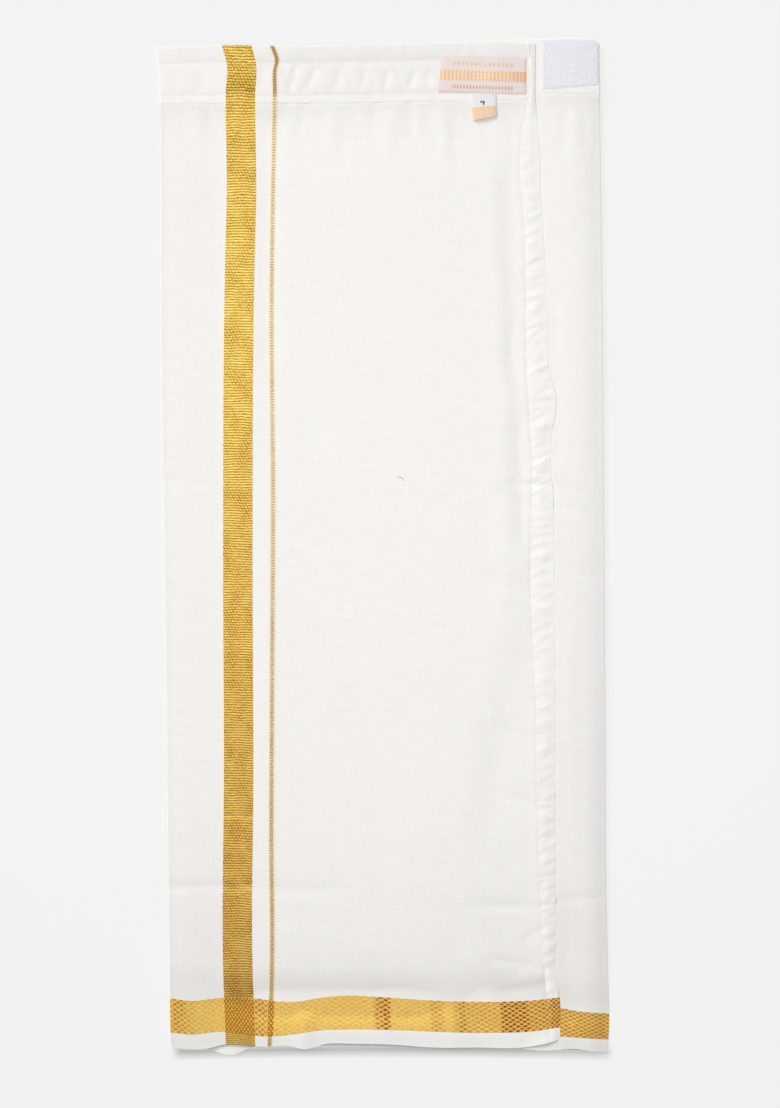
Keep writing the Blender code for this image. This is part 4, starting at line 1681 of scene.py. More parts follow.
@dataclass
class BodyCloth:
    """The length of cotton below the waist casing: front flap, under flap and back panel."""

    finish: Material
    lip: float = 5.5
    tuck: float = 3.0  # how far the cloth runs up under the waist casing
    showing: float = 0.9  # how far the back panel lifts where it shows past the front's lower edge
    broad: Drift = Drift(11, 58.0, 84.0, 0.13)
    upright: Drift = Drift(12, 12.0, 74.0, 0.06)
    level: Drift = Drift(13, 46.0, 10.5, 0.035)
    small: Drift = Drift(14, 6.5, 8.5, 0.012)
    lower_ripple: Drift = Drift(15, 15.0, 30.0, 0.09)
    grain: Drift = Drift(16, 4.6, 5.6, 0.03)
    rounding: float = 0.5
    rounding_reach: float = 12.0
    sag: float = 0.2  # how far the under flap sinks beneath the hem

    def unevenness(self, x: Array, y: Array) -> Array:
        """Give the soft unevenness of pressed cotton."""
        rough = self.broad.at(x, y) + self.upright.at(x, y) + self.level.at(x, y) + self.small.at(x, y)
        return rough + self.lower_ripple.at(x, y) * ease(y, -180.0, -262.0)

    def front_height(self, x: Array, y: Array) -> Array:
        """Give the height of the front flap's face.

        Args:
            x: Places across.
            y: Places up.

        Returns:
            The height at each place.
        """
        inside = HEM_SEAM.at(y) - x
        seam = 0.1 * bell(inside, 1.5) + 0.2 * ease(inside, 0.6, -0.3)
        calm = 1 - ease(y, 256.0, 267.0)
        fine = creased(FRONT_CREASES + HEM_PUCKERS, x, y) + self.unevenness(x, y) * calm
        return DRAPE.front_top(x, y) + fine - seam

    def under_height(self, x: Array, y: Array) -> Array:
        """Give the height of the under flap's face.

        Args:
            x: Places across.
            y: Places up.

        Returns:
            The height at each place.
        """
        seam = UNDER_WAIST_SEAM.at(x)
        near = DRAPE.to_seam(y, seam)
        outer = np.maximum(1 - (RIGHT_FOLD.at(y) - x) / self.rounding_reach, 0.0)
        rounded = self.rounding * (1 + ease(y, -20.0, -200.0)) * outer**2
        beneath = self.sag * ease(FLAP_EDGE.at(y) - x, -0.3, 1.0)
        top = DRAPE.under_top(x, y) + creased(UNDER_CREASES, x, y)
        top = top + 0.8 * self.unevenness(x, y) + self.grain.at(x, y)
        top = top - rounded - beneath
        at_seam = DRAPE.under_casing_top(x, y) + DRAPE.swell(x, y) + DRAPE.seam_lap
        return top + (at_seam - top) * near - DRAPE.tuck * ease(y - seam, 0.1, 2.5)

    def front(self) -> None:
        """Lay the front flap, from its lip under the left fold to the seam of its side hem."""
        top = WAIST_SEAM.moved(self.tuck)
        rows = tracks((top, 0), (WAIST_SEAM, 3), (BORDER_TOP, 288), (BORDER_FOOT, 15), (FRONT_EDGE, 8))
        columns = tracks(
            (LEFT_FOLD.moved(FACE_START), 0),
            (SIDE_ZARI_LEFT, 17),
            (SIDE_ZARI_LEFT.moved(SIDE_ZARI), 11),
            (THIN_ZARI, 7),
            (HEM_SEAM.moved(-30.0), 60),
            (HEM_SEAM.moved(0.3), 25),
        )
        face = laid(rows, columns, self.front_height)
        face.points[..., 2] -= DRAPE.droop(rows)
        turn = turned(rows, LEFT_FOLD, Side.LEFT, self.drooped(rows, self.front_height), self.lip)
        patch = turn.beside(face)
        x, y = patch.places()
        # painted shade: by the waist seam, in the fall to the border, over the lower cloth, beside the left
        # fold and on the left strip
        slant = 0.11 * np.maximum(x - 70.0, 0.0)
        fall = bell(y + 267.2 - slant, 7.5) * (0.35 + 1.5 * ease(x, 58.0, 76.0)) * ease(x, -68.0, -56.0)
        low = ease(y, -150.0, -265.0) * (0.04 + 0.07 * ease(x, -70.0, -90.0))
        side = 0.12 * ease(x - LEFT_FOLD.at(y), 6.0, 0.0)
        strip = 0.05 * ease(x, -92.0, -99.0)
        patch.shade = 0.08 * bell(y - WAIST_SEAM.at(x), 5.0) + 0.24 * fall + low + side + strip
        shell_piece("front_flap_cloth", patch, self.finish, "front_flap")

    def drooped(self, rows: Sequence[Track], height: HeightAt) -> HeightAt:
        """Take the droop of the lower edge off the height of one point of each row."""
        return lambda x, y: height(x, y) - DRAPE.droop(rows)[:, 0]

    def under(self) -> None:
        """Lay the under flap, from its hidden end to its lip under the right fold."""
        top = UNDER_WAIST_SEAM.moved(self.tuck)
        borders = ((UNDER_BORDER_TOP, 250), (UNDER_BORDER_FOOT, 14), (UNDER_EDGE, 7))
        rows = tracks((top, 0), (UNDER_WAIST_SEAM, 3), *borders)
        end = Line(((300.0, UNDER_END), (-300.0, UNDER_END)), UNDER_END_THREAD)
        columns = tracks(
            (end, 0),
            (RIGHT_FOLD.moved(-52.0), 12),
            (RIGHT_FOLD.moved(-46.0), 4),
            (RIGHT_FOLD.moved(-FACE_START), 34),
        )
        face = laid(rows, columns, self.under_height)
        face.points[..., 2] -= DRAPE.droop(rows)
        turn = turned(rows, RIGHT_FOLD, Side.RIGHT, self.drooped(rows, self.under_height), self.lip)
        patch = face.beside(turn)
        x, y = patch.places()
        # painted shade: at the foot of the tape, beside the flap's edge, at the fall to the border, by the
        # right fold and lower down
        beside = bell(x - FLAP_EDGE.at(y) - 2.0, 7.0)
        beside = beside * (0.4 * ease(y, -60.0, -130.0) + 0.6 * ease(y, -195.0, -225.0))
        side = ease(RIGHT_FOLD.at(y) - x, 4.5, 0.5) * (0.16 + 0.1 * ease(y, 0.0, -150.0))
        low = 0.06 * ease(y, 150.0, -60.0) + 0.03 * ease(y, -180.0, -260.0)
        patch.shade = 0.13 * ease(y, 258.0, 272.0) + 0.14 * beside + 0.08 * bell(y + 271.0, 9.0) + side + low
        shell_piece("under_flap_cloth", patch, self.finish, "under_flap")

    def back(self) -> None:
        """Lay the back panel flat on the surface, with its face down."""
        rows = tracks((BACK_WAIST_SEAM, 0), (BACK_BORDER_TOP, 90), (BACK_BORDER_FOOT, 6), (BACK_EDGE, 5))
        left, right = LEFT_FOLD.moved(self.lip), RIGHT_FOLD.moved(-self.lip)
        columns = tracks((right, 0), (left, 90))
        patch = laid(rows, columns, lambda x, y: self.showing * bell(x + 92.0, 9.0) * ease(y, -294.0, -303.0))
        patch.woven[..., 0] = 430.0 - patch.woven[..., 0] * 0.3
        shell_piece("back_panel_cloth", patch, self.finish, "back_panel")


@dataclass
class SideHem:
    """The turned and stitched side hem of the front flap, puckered all along."""

    finish: Material
    thread: Material
    body: BodyCloth
    puff: float = 0.3
    edge_fall: float = 0.42
    end_fall: float = 0.1
    fold_sink: float = 0.15  # how deep the hem follows the front's folds
    edge_radius: float = 0.55
    turned_under: float = 4.0  # how far the folded edge runs back under the hem
    least_height: float = 0.25  # from the hem's face to its turned edge
    seam_side_sink: float = 0.25
    resting_gap: float = 0.02
    pucker_pitch: float = 8.2
    pucker_rise: float = 0.07
    pucker_drift: float = 31.0
    climb: Pair = (258.0, 270.0)
    groove: float = 0.08
    thickness: float = 0.22
    small: Drift = Drift(21, 4.4, 2.7, 0.08)
    slanted: Drift = Drift(22, 8.0, 4.4, 0.12)
    edge_waver: Drift = Drift(23, 10.0, 6.0, 0.22)

    def floor(self, x: Array, y: Array) -> Array:
        """Give the height that the hem rests at, up over the end of the waist casing."""
        below = DRAPE.resting(x, y)
        return below + ease(y, *self.climb) * (DRAPE.casing_floor(x, y) - below)

    def top(self, x: Array, y: Array) -> Array:
        """Give the height of the hem's face.

        Args:
            x: Places across.
            y: Places up.

        Returns:
            The height at each place.
        """
        left, right = HEM_SEAM.at(y), FLAP_EDGE.at(y)
        across = np.clip((x - left) / (right - left), 0.0, 1.0)
        at_waist = ease(y, *self.climb)
        phase = 2 * math.pi * y / self.pucker_pitch + 1.6 * np.sin(y / self.pucker_drift)
        bulge = np.sin(math.pi * np.clip(across * 1.1, 0.0, 1.0)) ** 0.6
        pucker = self.pucker_rise * np.sin(phase) * (1 - at_waist) * bulge
        finer = self.small.at(x, y) + self.slanted.at(x + 0.55 * y, y - 0.4 * x)
        finer = finer * (1 - 0.7 * at_waist) * (0.25 + bulge) * (1 - 0.55 * ease(y, -220.0, -245.0))
        puff = self.puff * np.sin(math.pi * (0.12 + 0.5 * across)) * (1 - 0.55 * ease(y, 30.0, -30.0))
        puff = puff + at_waist * (DRAPE.band_wall - DRAPE.wall)
        rounded = self.edge_fall * ease(across, 0.35, 1.0) + self.end_fall * at_waist * across
        stitched = self.groove * bell(x - left - 0.2, 0.9)
        folds = np.maximum(creased(FRONT_FOLDS, x, y), -self.fold_sink) * (1 - at_waist) * (1 - 0.7 * across)
        fine = folds + creased(FRONT_CREASES, x, y) * (1 - 0.6 * across) + creased(HEM_PUCKERS, x, y)
        return self.floor(x, y) + DRAPE.wall + puff + pucker + finer + fine - rounded - stitched

    def cloth(self) -> None:
        """Lay the hem, with its folded edge turned down onto the under flap and back under itself."""
        borders = ((BORDER_TOP, 560), (BORDER_FOOT, 22), (FRONT_EDGE, 10))
        rows = tracks((WAIST_TOP, 0), (WAIST_SEAM, 42), *borders)
        edge = FLAP_EDGE.moved(-self.edge_radius)
        columns = tracks((HEM_SEAM.moved(-0.5), 0), (HEM_SEAM, 1), (edge, 14))
        face = laid(rows, columns, self.top)
        droop = DRAPE.droop(rows)
        face.points[..., 2] -= droop
        face.points[:, 0, 2] -= self.seam_side_sink
        x, y = crossings(rows, [Track(edge, edge, 0.0)])
        x, y = x[:, 0], y[:, 0]
        waver = self.edge_waver.at(x, y)
        high = self.top(x, y) - droop[:, 0]
        at_waist = ease(y, *self.climb)
        below = self.body.under_height(x, y) + self.resting_gap
        below = below + at_waist * (DRAPE.under_casing_top(x, y) - 0.1 - below)
        low = np.minimum(below - droop[:, 0], high - self.least_height)
        middle, half = (high + low) / 2, (high - low) / 2
        points, woven = [], []
        for step in range(1, 7):
            angle = math.pi / 2 - math.pi * step / 6
            out = (self.edge_radius + waver) * math.cos(angle)
            points.append(np.stack([x + out, y, middle + half * math.sin(angle)], -1))
            woven.append(face.woven[:, -1] + np.array([step * 0.35, 0.0]))
        points.append(np.stack([x - self.turned_under, y, low], -1))
        woven.append(face.woven[:, -1] + np.array([6.0, 0.0]))
        patch = face.beside(Patch(np.stack(points, 1), np.stack(woven, 1)))
        x, y = patch.places()
        # painted shade: along the stitched seam, and on the lower hem, most towards its folded edge
        left = HEM_SEAM.at(y)
        outer = ease((x - left) / (FLAP_EDGE.at(y) - left), 0.72, 1.0)
        patch.shade = 0.08 * bell(x - left - 0.1, 0.7) + ease(y, -80.0, -150.0) * (0.07 + 0.13 * outer)
        shell_piece("flap_hem_cloth", patch, self.finish, "flap_hem", self.thickness)

    def stitches(self) -> None:
        """Sew the row of stitches along the hem's inner edge."""
        y = np.linspace(302.0, -299.0, 700)
        sway = 0.12 * np.sin(y / 9.0)
        height: HeightAt = lambda x, y: self.top(x, y) - 0.7 * (1 - ease(y + 302.0, 0.0, 9.0))
        Stitching().sew("hem_stitches", [(HEM_SEAM.at(y) + 0.25 + sway, y)], height, self.thread, 31)


@dataclass
class WaistCasing:
    """The turned and stitched casing at the waist, one stretch on each layer."""

    finish: Material
    thread: Material
    upper_stitches: float = 0.28
    lower_stitches: float = 0.835
    ridge: float = 0.955
    line_half_width: float = 0.05
    seam_sink: float = 0.11
    casing_puff: float = 0.14
    ridge_rise: float = 0.12
    header_rise: float = 0.7
    fold_radius: float = 0.35
    foot_radius: float = 0.18
    thickness: float = 0.35
    lip: float = 5.5
    gathers: Drift = Drift(41, 3.4, 26.0, 0.25)
    header_gathers: Drift = Drift(42, 5.2, 20.0, 0.16)
    ridge_gathers: Drift = Drift(43, 2.6, 30.0, 0.12)
    broad: Drift = Drift(44, 30.0, 30.0, 0.1)

    def share(self, x: Array, y: Array) -> Array:
        """Give how far down the front casing a point lies, from 0 at its top to 1 at its foot."""
        top, foot = WAIST_TOP.at(x), WAIST_SEAM.at(x)
        return (top - y) / (top - foot)

    def front_height(self, x: Array, y: Array) -> Array:
        """Give the height of the front casing's face, with its stitched valleys, puckers and ridge.

        Args:
            x: Places across.
            y: Places up.

        Returns:
            The height at each place.
        """
        share, narrow = self.share(x, y), self.line_half_width
        channel = ease(share, self.upper_stitches, self.upper_stitches + 3 * narrow)
        channel = channel * ease(share, self.lower_stitches, self.lower_stitches - 3 * narrow)
        loose = 0.35 + 0.65 * ease(x, -100.0, -70.0)
        header = 1 - (1 - np.clip(1 - share / self.upper_stitches, 0.0, 1.0)) ** 2
        stitched = bell(share - self.upper_stitches, 0.026) + bell(share - self.lower_stitches, 0.03)
        ridge = bell(share - self.ridge, 0.045)
        face = self.casing_puff * channel + self.ridge_rise * ridge
        face = face + self.header_rise * header * (0.3 + 0.7 * loose) - self.seam_sink * stitched
        puckers = 0.8 * creased(WAIST_PUCKERS, x, y) * channel
        near_rows = bell(share - 0.74, 0.12) + 0.7 * bell(share - 0.38, 0.1)
        puckers = puckers + self.gathers.at(x + 0.3 * y, y) * near_rows * loose
        puckers = puckers + self.header_gathers.at(x, y) * header * loose
        puckers = puckers + self.ridge_gathers.at(x, y) * ridge * ease(share, 1.0, 0.97)
        puckers = puckers + self.broad.at(x, y) * ease(share, 1.0, 0.8)
        return DRAPE.casing_floor(x, y) + DRAPE.band_wall + face + puckers

    def under_height(self, x: Array, y: Array) -> Array:
        """Give the height of the under casing's face.

        Args:
            x: Places across.
            y: Places up.

        Returns:
            The height at each place.
        """
        share = (BACK_WAIST_TOP.at(x) - y) / (BACK_WAIST_TOP.at(x) - UNDER_WAIST_SEAM.at(x))
        stitched = 0.05 * bell(share - 0.95, 0.02)
        return DRAPE.under_casing_top(x, y) + DRAPE.swell(x, y) - stitched + 0.4 * self.broad.at(x, y)

    def over_top(self, line: Line, outward: int) -> list[Track]:
        """Run rows in a half circle over a top fold.

        Args:
            line: The line of the fold.
            outward: 1 where the face looks up, and -1 where it looks down.

        Returns:
            The tracks, each with its depth below the face.
        """
        rows = []
        for step in range(7):
            angle = math.pi * step / 6 - math.pi / 2
            depth = self.fold_radius * (outward - math.sin(angle))
            rows.append(Track(line, line, 0.0, self.fold_radius * (math.cos(angle) - 1), depth))
        return rows

    def section(self, top: Line, foot: Line, steps: int) -> list[Track]:
        """Run rows from inside the top fold, over it, down the face and under the foot.

        Args:
            top: The line of the top fold.
            foot: The line of the foot.
            steps: How many rows the face has.

        Returns:
            The tracks, each with its depth below the face.
        """
        rows = [Track(top, top, 0.0, -3.0, 2 * self.fold_radius), *self.over_top(top, 1)]
        face_top, face_foot = top.moved(-self.fold_radius), foot.moved(self.foot_radius)
        rows += [Track(face_top, face_foot, step / steps) for step in range(1, steps + 1)]
        for step in range(1, 5):
            angle = math.pi / 2 - math.pi * step / 5
            offset = self.foot_radius * (1 - math.cos(angle))
            rows.append(Track(foot, foot, 0.0, offset, self.foot_radius * (1 - math.sin(angle))))
        return rows

    def front(self) -> None:
        """Lay the front casing, from its lip under the left fold to the side hem."""
        rows = self.section(WAIST_TOP, WAIST_SEAM, 38)
        columns = tracks(
            (LEFT_FOLD.moved(FACE_START), 0),
            (SIDE_ZARI_LEFT, 26),
            (SIDE_ZARI_LEFT.moved(SIDE_ZARI), 16),
            (THIN_ZARI, 10),
            (HEM_SEAM.moved(1.0), 140),
        )
        face = laid(rows, columns, self.front_height)
        patch = turned(rows, LEFT_FOLD, Side.LEFT, self.front_height, self.lip, 12).beside(face)
        x, y = patch.places()
        share = self.share(x, y)
        # painted shade: along the two stitch rows, and over the face from the side band on, above the ridge
        lines = bell(share - self.upper_stitches, 0.025) + bell(share - self.lower_stitches, 0.025)
        patch.shade = 0.05 * ease(x, -100.0, -70.0) * ease(share, 0.92, 0.86) + 0.12 * lines
        shell_piece("front_casing_cloth", patch, self.finish, "waistband_front", self.thickness)

    def under(self) -> None:
        """Lay the under casing, from its hidden end to its lip under the right fold."""
        rows = self.section(BACK_WAIST_TOP, UNDER_WAIST_SEAM, 26)
        end = Line(((300.0, UNDER_END), (260.0, UNDER_END)), UNDER_END_THREAD)
        columns = tracks((end, 0), (RIGHT_FOLD.moved(-50.0), 24), (RIGHT_FOLD.moved(-FACE_START), 40))
        face = laid(rows, columns, self.under_height)
        turn = turned(rows, RIGHT_FOLD, Side.RIGHT, self.under_height, self.lip, 12)
        name = "under_casing_cloth"
        shell_piece(name, face.beside(turn), self.finish, "waistband_under", self.thickness)

    def back(self) -> None:
        """Lay the back casing flat on the surface, its face down, with its top fold turned up."""
        rows = [Track(BACK_WAIST_SEAM, BACK_WAIST_TOP, step / 20) for step in range(20)]
        rows += self.over_top(BACK_WAIST_TOP, -1)
        columns = tracks((LEFT_FOLD.moved(self.lip), 0), (RIGHT_FOLD.moved(-self.lip), 60))
        patch = laid(rows, columns, lambda x, y: 0.0 * x)
        patch.woven[..., 0] = 330.0 + patch.woven[..., 0] * 0.1
        shell_piece("back_casing_cloth", patch, self.finish, "waistband_back", self.thickness)

    def stitches(self) -> None:
        """Sew the two rows of the front casing."""
        x = np.linspace(-133.0, 87.0, 400)
        routes = []
        for share in (self.upper_stitches, self.lower_stitches):
            y = WAIST_TOP.at(x) + (WAIST_SEAM.at(x) - WAIST_TOP.at(x)) * share
            routes.append((x, y + 0.1 * np.sin(x / 7.0)))
        Stitching(pitch=3.0).sew("casing_stitches", routes, self.front_height, self.thread, 32)


@dataclass
class ClosureTape:
    """The soft side of the touch-and-close tape, sewn on the under flap's casing."""

    finish: Material
    thread: Material
    casing: WaistCasing
    left: float = TAPE_LEFT
    drop: float = 0.6
    end: float = 0.9
    wall: float = 0.9
    gap: float = 0.3
    settle: float = 0.6
    rounding: float = 0.15
    pile: Drift = Drift(51, 0.8, 0.8, 0.08)
    nap: Drift = Drift(52, 5.0, 5.0, 0.06)

    def edge_share(self, x: Array, y: Array) -> Array:
        """Give 0 on the tape's edge and 1 inside it.

        Args:
            x: Places across.
            y: Places up.

        Returns:
            The share at each place.
        """
        across = np.minimum(x - self.left, RIGHT_FOLD.at(y) - self.end - x)
        along = np.minimum(BACK_WAIST_TOP.at(x) - self.drop - y, y - TAPE_FOOT.at(x))
        return ease(np.minimum(across, along), 0.0, 1.4)

    def height(self, x: Array, y: Array) -> Array:
        """Give the height of the loops.

        Args:
            x: Places across.
            y: Places up.

        Returns:
            The height at each place.
        """
        base = DRAPE.under_casing_top(x, y) + self.gap + self.wall - self.settle
        pile = self.pile.at(x, y) + self.nap.at(x, y)
        edge = self.edge_share(x, y)
        return base + pile * edge - self.rounding * (1 - edge)

    def tape(self) -> None:
        """Lay the tape."""
        side = Line(((310.0, self.left), (270.0, self.left)), 0.0)
        rows = tracks((BACK_WAIST_TOP.moved(-self.drop), 0), (TAPE_FOOT, 60))
        columns = tracks((side, 0), (RIGHT_FOLD.moved(-self.end), 70))
        patch = laid(rows, columns, self.height)
        patch.woven = patch.points[..., :2].copy()
        thickness = self.wall - self.settle
        shell_piece("loop_tape", patch, self.finish, "closure_tape", thickness)

    def stitches(self) -> None:
        """Sew the tape down along its left side and its foot, with a bar tack at their corner."""
        y = np.linspace(304.0, 277.4, 40)
        x = np.linspace(self.left + 1.0, 128.0, 40)
        tack_y = np.linspace(276.6, 274.2, 12)
        routes = [(np.full_like(y, self.left + 1.3), y), (x, TAPE_FOOT.at(x) + 1.2)]
        lower_x = np.linspace(93.0, 130.5, 40)
        routes.append((lower_x, UNDER_WAIST_SEAM.at(lower_x) + 1.6))
        tacks = [(np.full_like(tack_y, 95.0 + 0.45 * step), tack_y) for step in range(3)]

        def height(x: Array, y: Array) -> Array:
            """Give the height of the tape, or of the casing beside it."""
            on_tape = (y > TAPE_FOOT.at(x)) & (x > self.left)
            return np.where(on_tape, self.height(x, y), self.casing.under_height(x, y))

        Stitching(pitch=2.8, radius=0.18).sew("tape_stitches", routes + tacks, height, self.thread, 33)


@dataclass
class WaistLabel:
    """The woven label on the front casing, with the folded size tab that hangs from its foot."""

    finish: Material
    tab_finish: Material
    ink: Material
    thread: Material
    casing: WaistCasing
    corners: tuple[Pair, ...] = ((35.4, 296.9), (87.0, 295.3), (33.3, 274.5), (86.8, 272.9))
    tab_corners: tuple[Pair, ...] = (
        (52.7, 273.9),
        (68.3, 273.4),
        (54.9, 257.7),
        (68.4, 260.4),
    )
    wall: float = 0.8
    gap: float = 0.3
    tab_wall: float = 1.2
    tab_floor: Pair = (5.4, 4.6)
    settle: float = 0.68
    tab_settle: float = 0.8
    tab_radius: float = 0.42  # of the fold at its foot
    tab_size: Pair = (14.6, 14.5)
    tab_thickness: float = 0.25
    thickness: float = 0.2
    numeral_place: Pair = (0.34, 0.46)  # its share of the way down and to the right
    numeral_tilt: float = -2.0
    numeral_height: float = 0.03
    numeral: str = "4"
    numeral_size: float = 6.6
    waver: Drift = Drift(61, 9.0, 14.0, 0.06)

    def spread(
        self, corners: Sequence[Pair], down: Array, right: Array
    ) -> tuple[Array, Array]:
        """Spread a grid over four corners, top left, top right, foot left and foot right.

        Args:
            corners: The corners.
            down: The share of the way down of each point.
            right: The share of the way to the right.

        Returns:
            The x and the y of the points.
        """
        weights = ((1 - down) * (1 - right), (1 - down) * right, down * (1 - right), down * right)
        x = sum(weight * corner[0] for weight, corner in zip(weights, corners))
        y = sum(weight * corner[1] for weight, corner in zip(weights, corners))
        return x, y

    def height(self, x: Array, y: Array) -> Array:
        """Give the height of the label's face: it follows the casing softly.

        Args:
            x: Places across.
            y: Places up.

        Returns:
            The height at each place.
        """
        share = self.casing.share(x, y)
        swell = 0.2 * bell(share - 0.6, 0.26) + 0.1 * bell(share - 0.15, 0.12)
        base = DRAPE.casing_floor(x, y) + DRAPE.band_wall + self.gap + self.wall
        return base - self.settle + swell + self.waver.at(x, y)

    def label(self) -> None:
        """Lay the label."""
        down, right = np.meshgrid(np.linspace(0, 1, 45), np.linspace(0, 1, 101), indexing="ij")
        x, y = self.spread(self.corners, down, right)
        width, height = LabelFinish.width, LabelFinish.height
        edge = np.minimum(np.minimum(right, 1 - right) * width, np.minimum(down, 1 - down) * height)
        pulled = 0.12 * bell(edge - 0.9, 0.6) + 0.3 * (1 - ease(edge, 0.0, 1.2))
        points = np.stack([x, y, self.height(x, y) - pulled], -1)
        woven = np.stack([right * width, (1 - down) * height], -1)
        cut = Cut(width, height, Held.LAID, ("front_casing_cloth",))
        patch = Patch(points, woven)
        shell_piece("woven_label", patch, self.finish, "waist_label", self.thickness)

    def tab_height(self, down: Array) -> Array:
        """Give the height of the tab's face, a share of the way down it."""
        floor = self.tab_floor[0] + (self.tab_floor[1] - self.tab_floor[0]) * down
        return floor + self.tab_wall - self.tab_settle - 0.1 * np.sin(math.pi * down)

    def tab(self) -> None:
        """Fold the size tab: its face, the fold at its foot, and its back up under it."""
        face, turn = np.linspace(0, 1, 24), np.linspace(0, 1, 8)[1:]
        down = np.concatenate([face, np.ones_like(turn), np.linspace(1, 0, 10)[1:]])
        radius = self.tab_radius
        out = np.concatenate([0 * face, radius * np.sin(math.pi * turn), np.zeros(9)])
        sunk = np.concatenate([0 * face, radius * (1 - np.cos(math.pi * turn)), np.full(9, 2 * radius)])
        down_grid, right = np.meshgrid(down, np.linspace(0, 1, 24), indexing="ij")
        x, y = self.spread(self.tab_corners, down_grid, right)
        y = y - out[:, None]
        bow = 0.14 * np.sin(math.pi * right) - 0.25 * bell(np.minimum(right, 1 - right), 0.06)
        points = np.stack([x, y, self.tab_height(down_grid) + bow * (1 - sunk[:, None]) - sunk[:, None]], -1)
        width, length = self.tab_size
        back = -1.0 - (1 - np.linspace(1, 0, 10)[1:]) * length
        along = np.concatenate([(1 - face) * length, -turn, back])
        woven = np.stack(np.broadcast_arrays(right * width, along[:, None]), -1)
        patch, name = Patch(points, woven), "folded_size_tab"
        shell_piece(name, patch, self.tab_finish, "size_tab", self.tab_thickness)

    def number(self) -> None:
        """Print the size on the tab, as a thin raised numeral."""
        deselect()
        down, right = (np.array(share) for share in self.numeral_place)
        x, y = self.spread(self.tab_corners, down, right)
        bpy.ops.object.text_add(location=(0.0, 0.0, 0.0))
        text = bpy.context.object
        text.name = "size_numeral"
        text.data.body = self.numeral
        text.data.size = self.numeral_size * MM
        text.data.extrude = self.numeral_height * MM
        text.data.align_x = "CENTER"
        text.data.align_y = "CENTER"
        bpy.ops.object.convert(target="MESH")
        numeral = bpy.context.object
        numeral.rotation_euler.z = math.radians(self.numeral_tilt)
        level = float(self.tab_height(down)) + 0.17
        numeral.location = (float(x) * MM, float(y) * MM, level * MM)
        bpy.ops.object.transform_apply(location=True, rotation=True, scale=True)
        numeral.data.name = numeral.name
        numeral.data.materials.append(self.ink)
        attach(numeral, BODY)

    def stitches(self) -> None:
        """Sew the label down all round."""
        inset = 0.045
        around = [(0.05, inset / 2), (0.05, 1 - inset / 2), (0.95, 1 - inset / 2), (0.95, inset / 2)]
        routes = []
        for (down0, right0), (down1, right1) in zip(around, around[1:] + around[:1]):
            step = np.linspace(0, 1, 30)
            down, right = down0 + (down1 - down0) * step, right0 + (right1 - right0) * step
            routes.append(self.spread(self.corners, down, right))
        height: HeightAt = lambda x, y: self.height(x, y) - 0.2
        sewing = Stitching(pitch=2.2, radius=0.14, arch=0.2, proud=0.07)
        sewing.sew("label_stitches", routes, height, self.thread, 34)


@dataclass
class StrayThreads:
    """Thick slubs that lie on the cloth's face, and one dark fibre."""

    slub_finish: Material
    fibre_finish: Material
    body: BodyCloth
    slubs: tuple[tuple[Pair, ...], ...] = (
        ((-10.9, 197.0), (-11.3, 186.0), (-11.0, 174.0), (-11.4, 161.0)),
        ((61.5, -66.0), (62.6, -86.0), (64.8, -108.0), (66.9, -126.0), (68.0, -141.0)),
    )
    fibre: tuple[Pair, ...] = (
        (8.6, 42.0),
        (9.9, 42.4),
        (11.2, 41.9),
        (12.4, 40.9),
        (12.9, 39.8),
    )

    def strand(
        self, name: str, routes: Sequence[Sequence[Pair]], radius: float, proud: float
    ) -> bpy.types.Object:
        """Lay thin strands on the cloth.

        Args:
            name: The piece's name.
            routes: The points that each strand passes.
            radius: The strand's radius.
            proud: How far its middle lies above the cloth's face.

        Returns:
            The strands as one piece.
        """
        curve = bpy.data.curves.new(name, "CURVE")
        curve.dimensions = "3D"
        curve.bevel_depth = radius * MM
        curve.bevel_resolution = 1
        curve.use_fill_caps = True
        for route in routes:
            known = np.array(route, float)
            run = np.linspace(0, 1, len(known))
            fine = np.linspace(0, 1, 8 * len(known))
            x, y = (np.interp(fine, run, known[:, i]) for i in (0, 1))
            z = self.body.front_height(x, y) + proud
            spline = curve.splines.new("POLY")
            spline.points.add(len(fine) - 1)
            taper = 0.25 + 0.75 * np.sin(math.pi * fine) ** 0.5
            for point, at, width in zip(spline.points, zip(x, y, z), taper):
                point.co = (at[0] * MM, at[1] * MM, at[2] * MM, 1.0)
                point.radius = width
        activate(put(name, curve))
        bpy.ops.object.convert(target="MESH")
        piece = bpy.context.object
        smooth(piece, 80.0)
        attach(piece, BODY)
        return piece

    def build(self) -> None:
        """Lay the slubs and the fibre."""
        slubs = self.strand("thick_slubs", self.slubs, 0.3, -0.17)
        slubs.data.materials.append(self.slub_finish)
        fibre = self.strand("dark_fibre", [self.fibre], 0.11, 0.09)
        fibre.data.materials.append(self.fibre_finish)


# -------- Studio --------


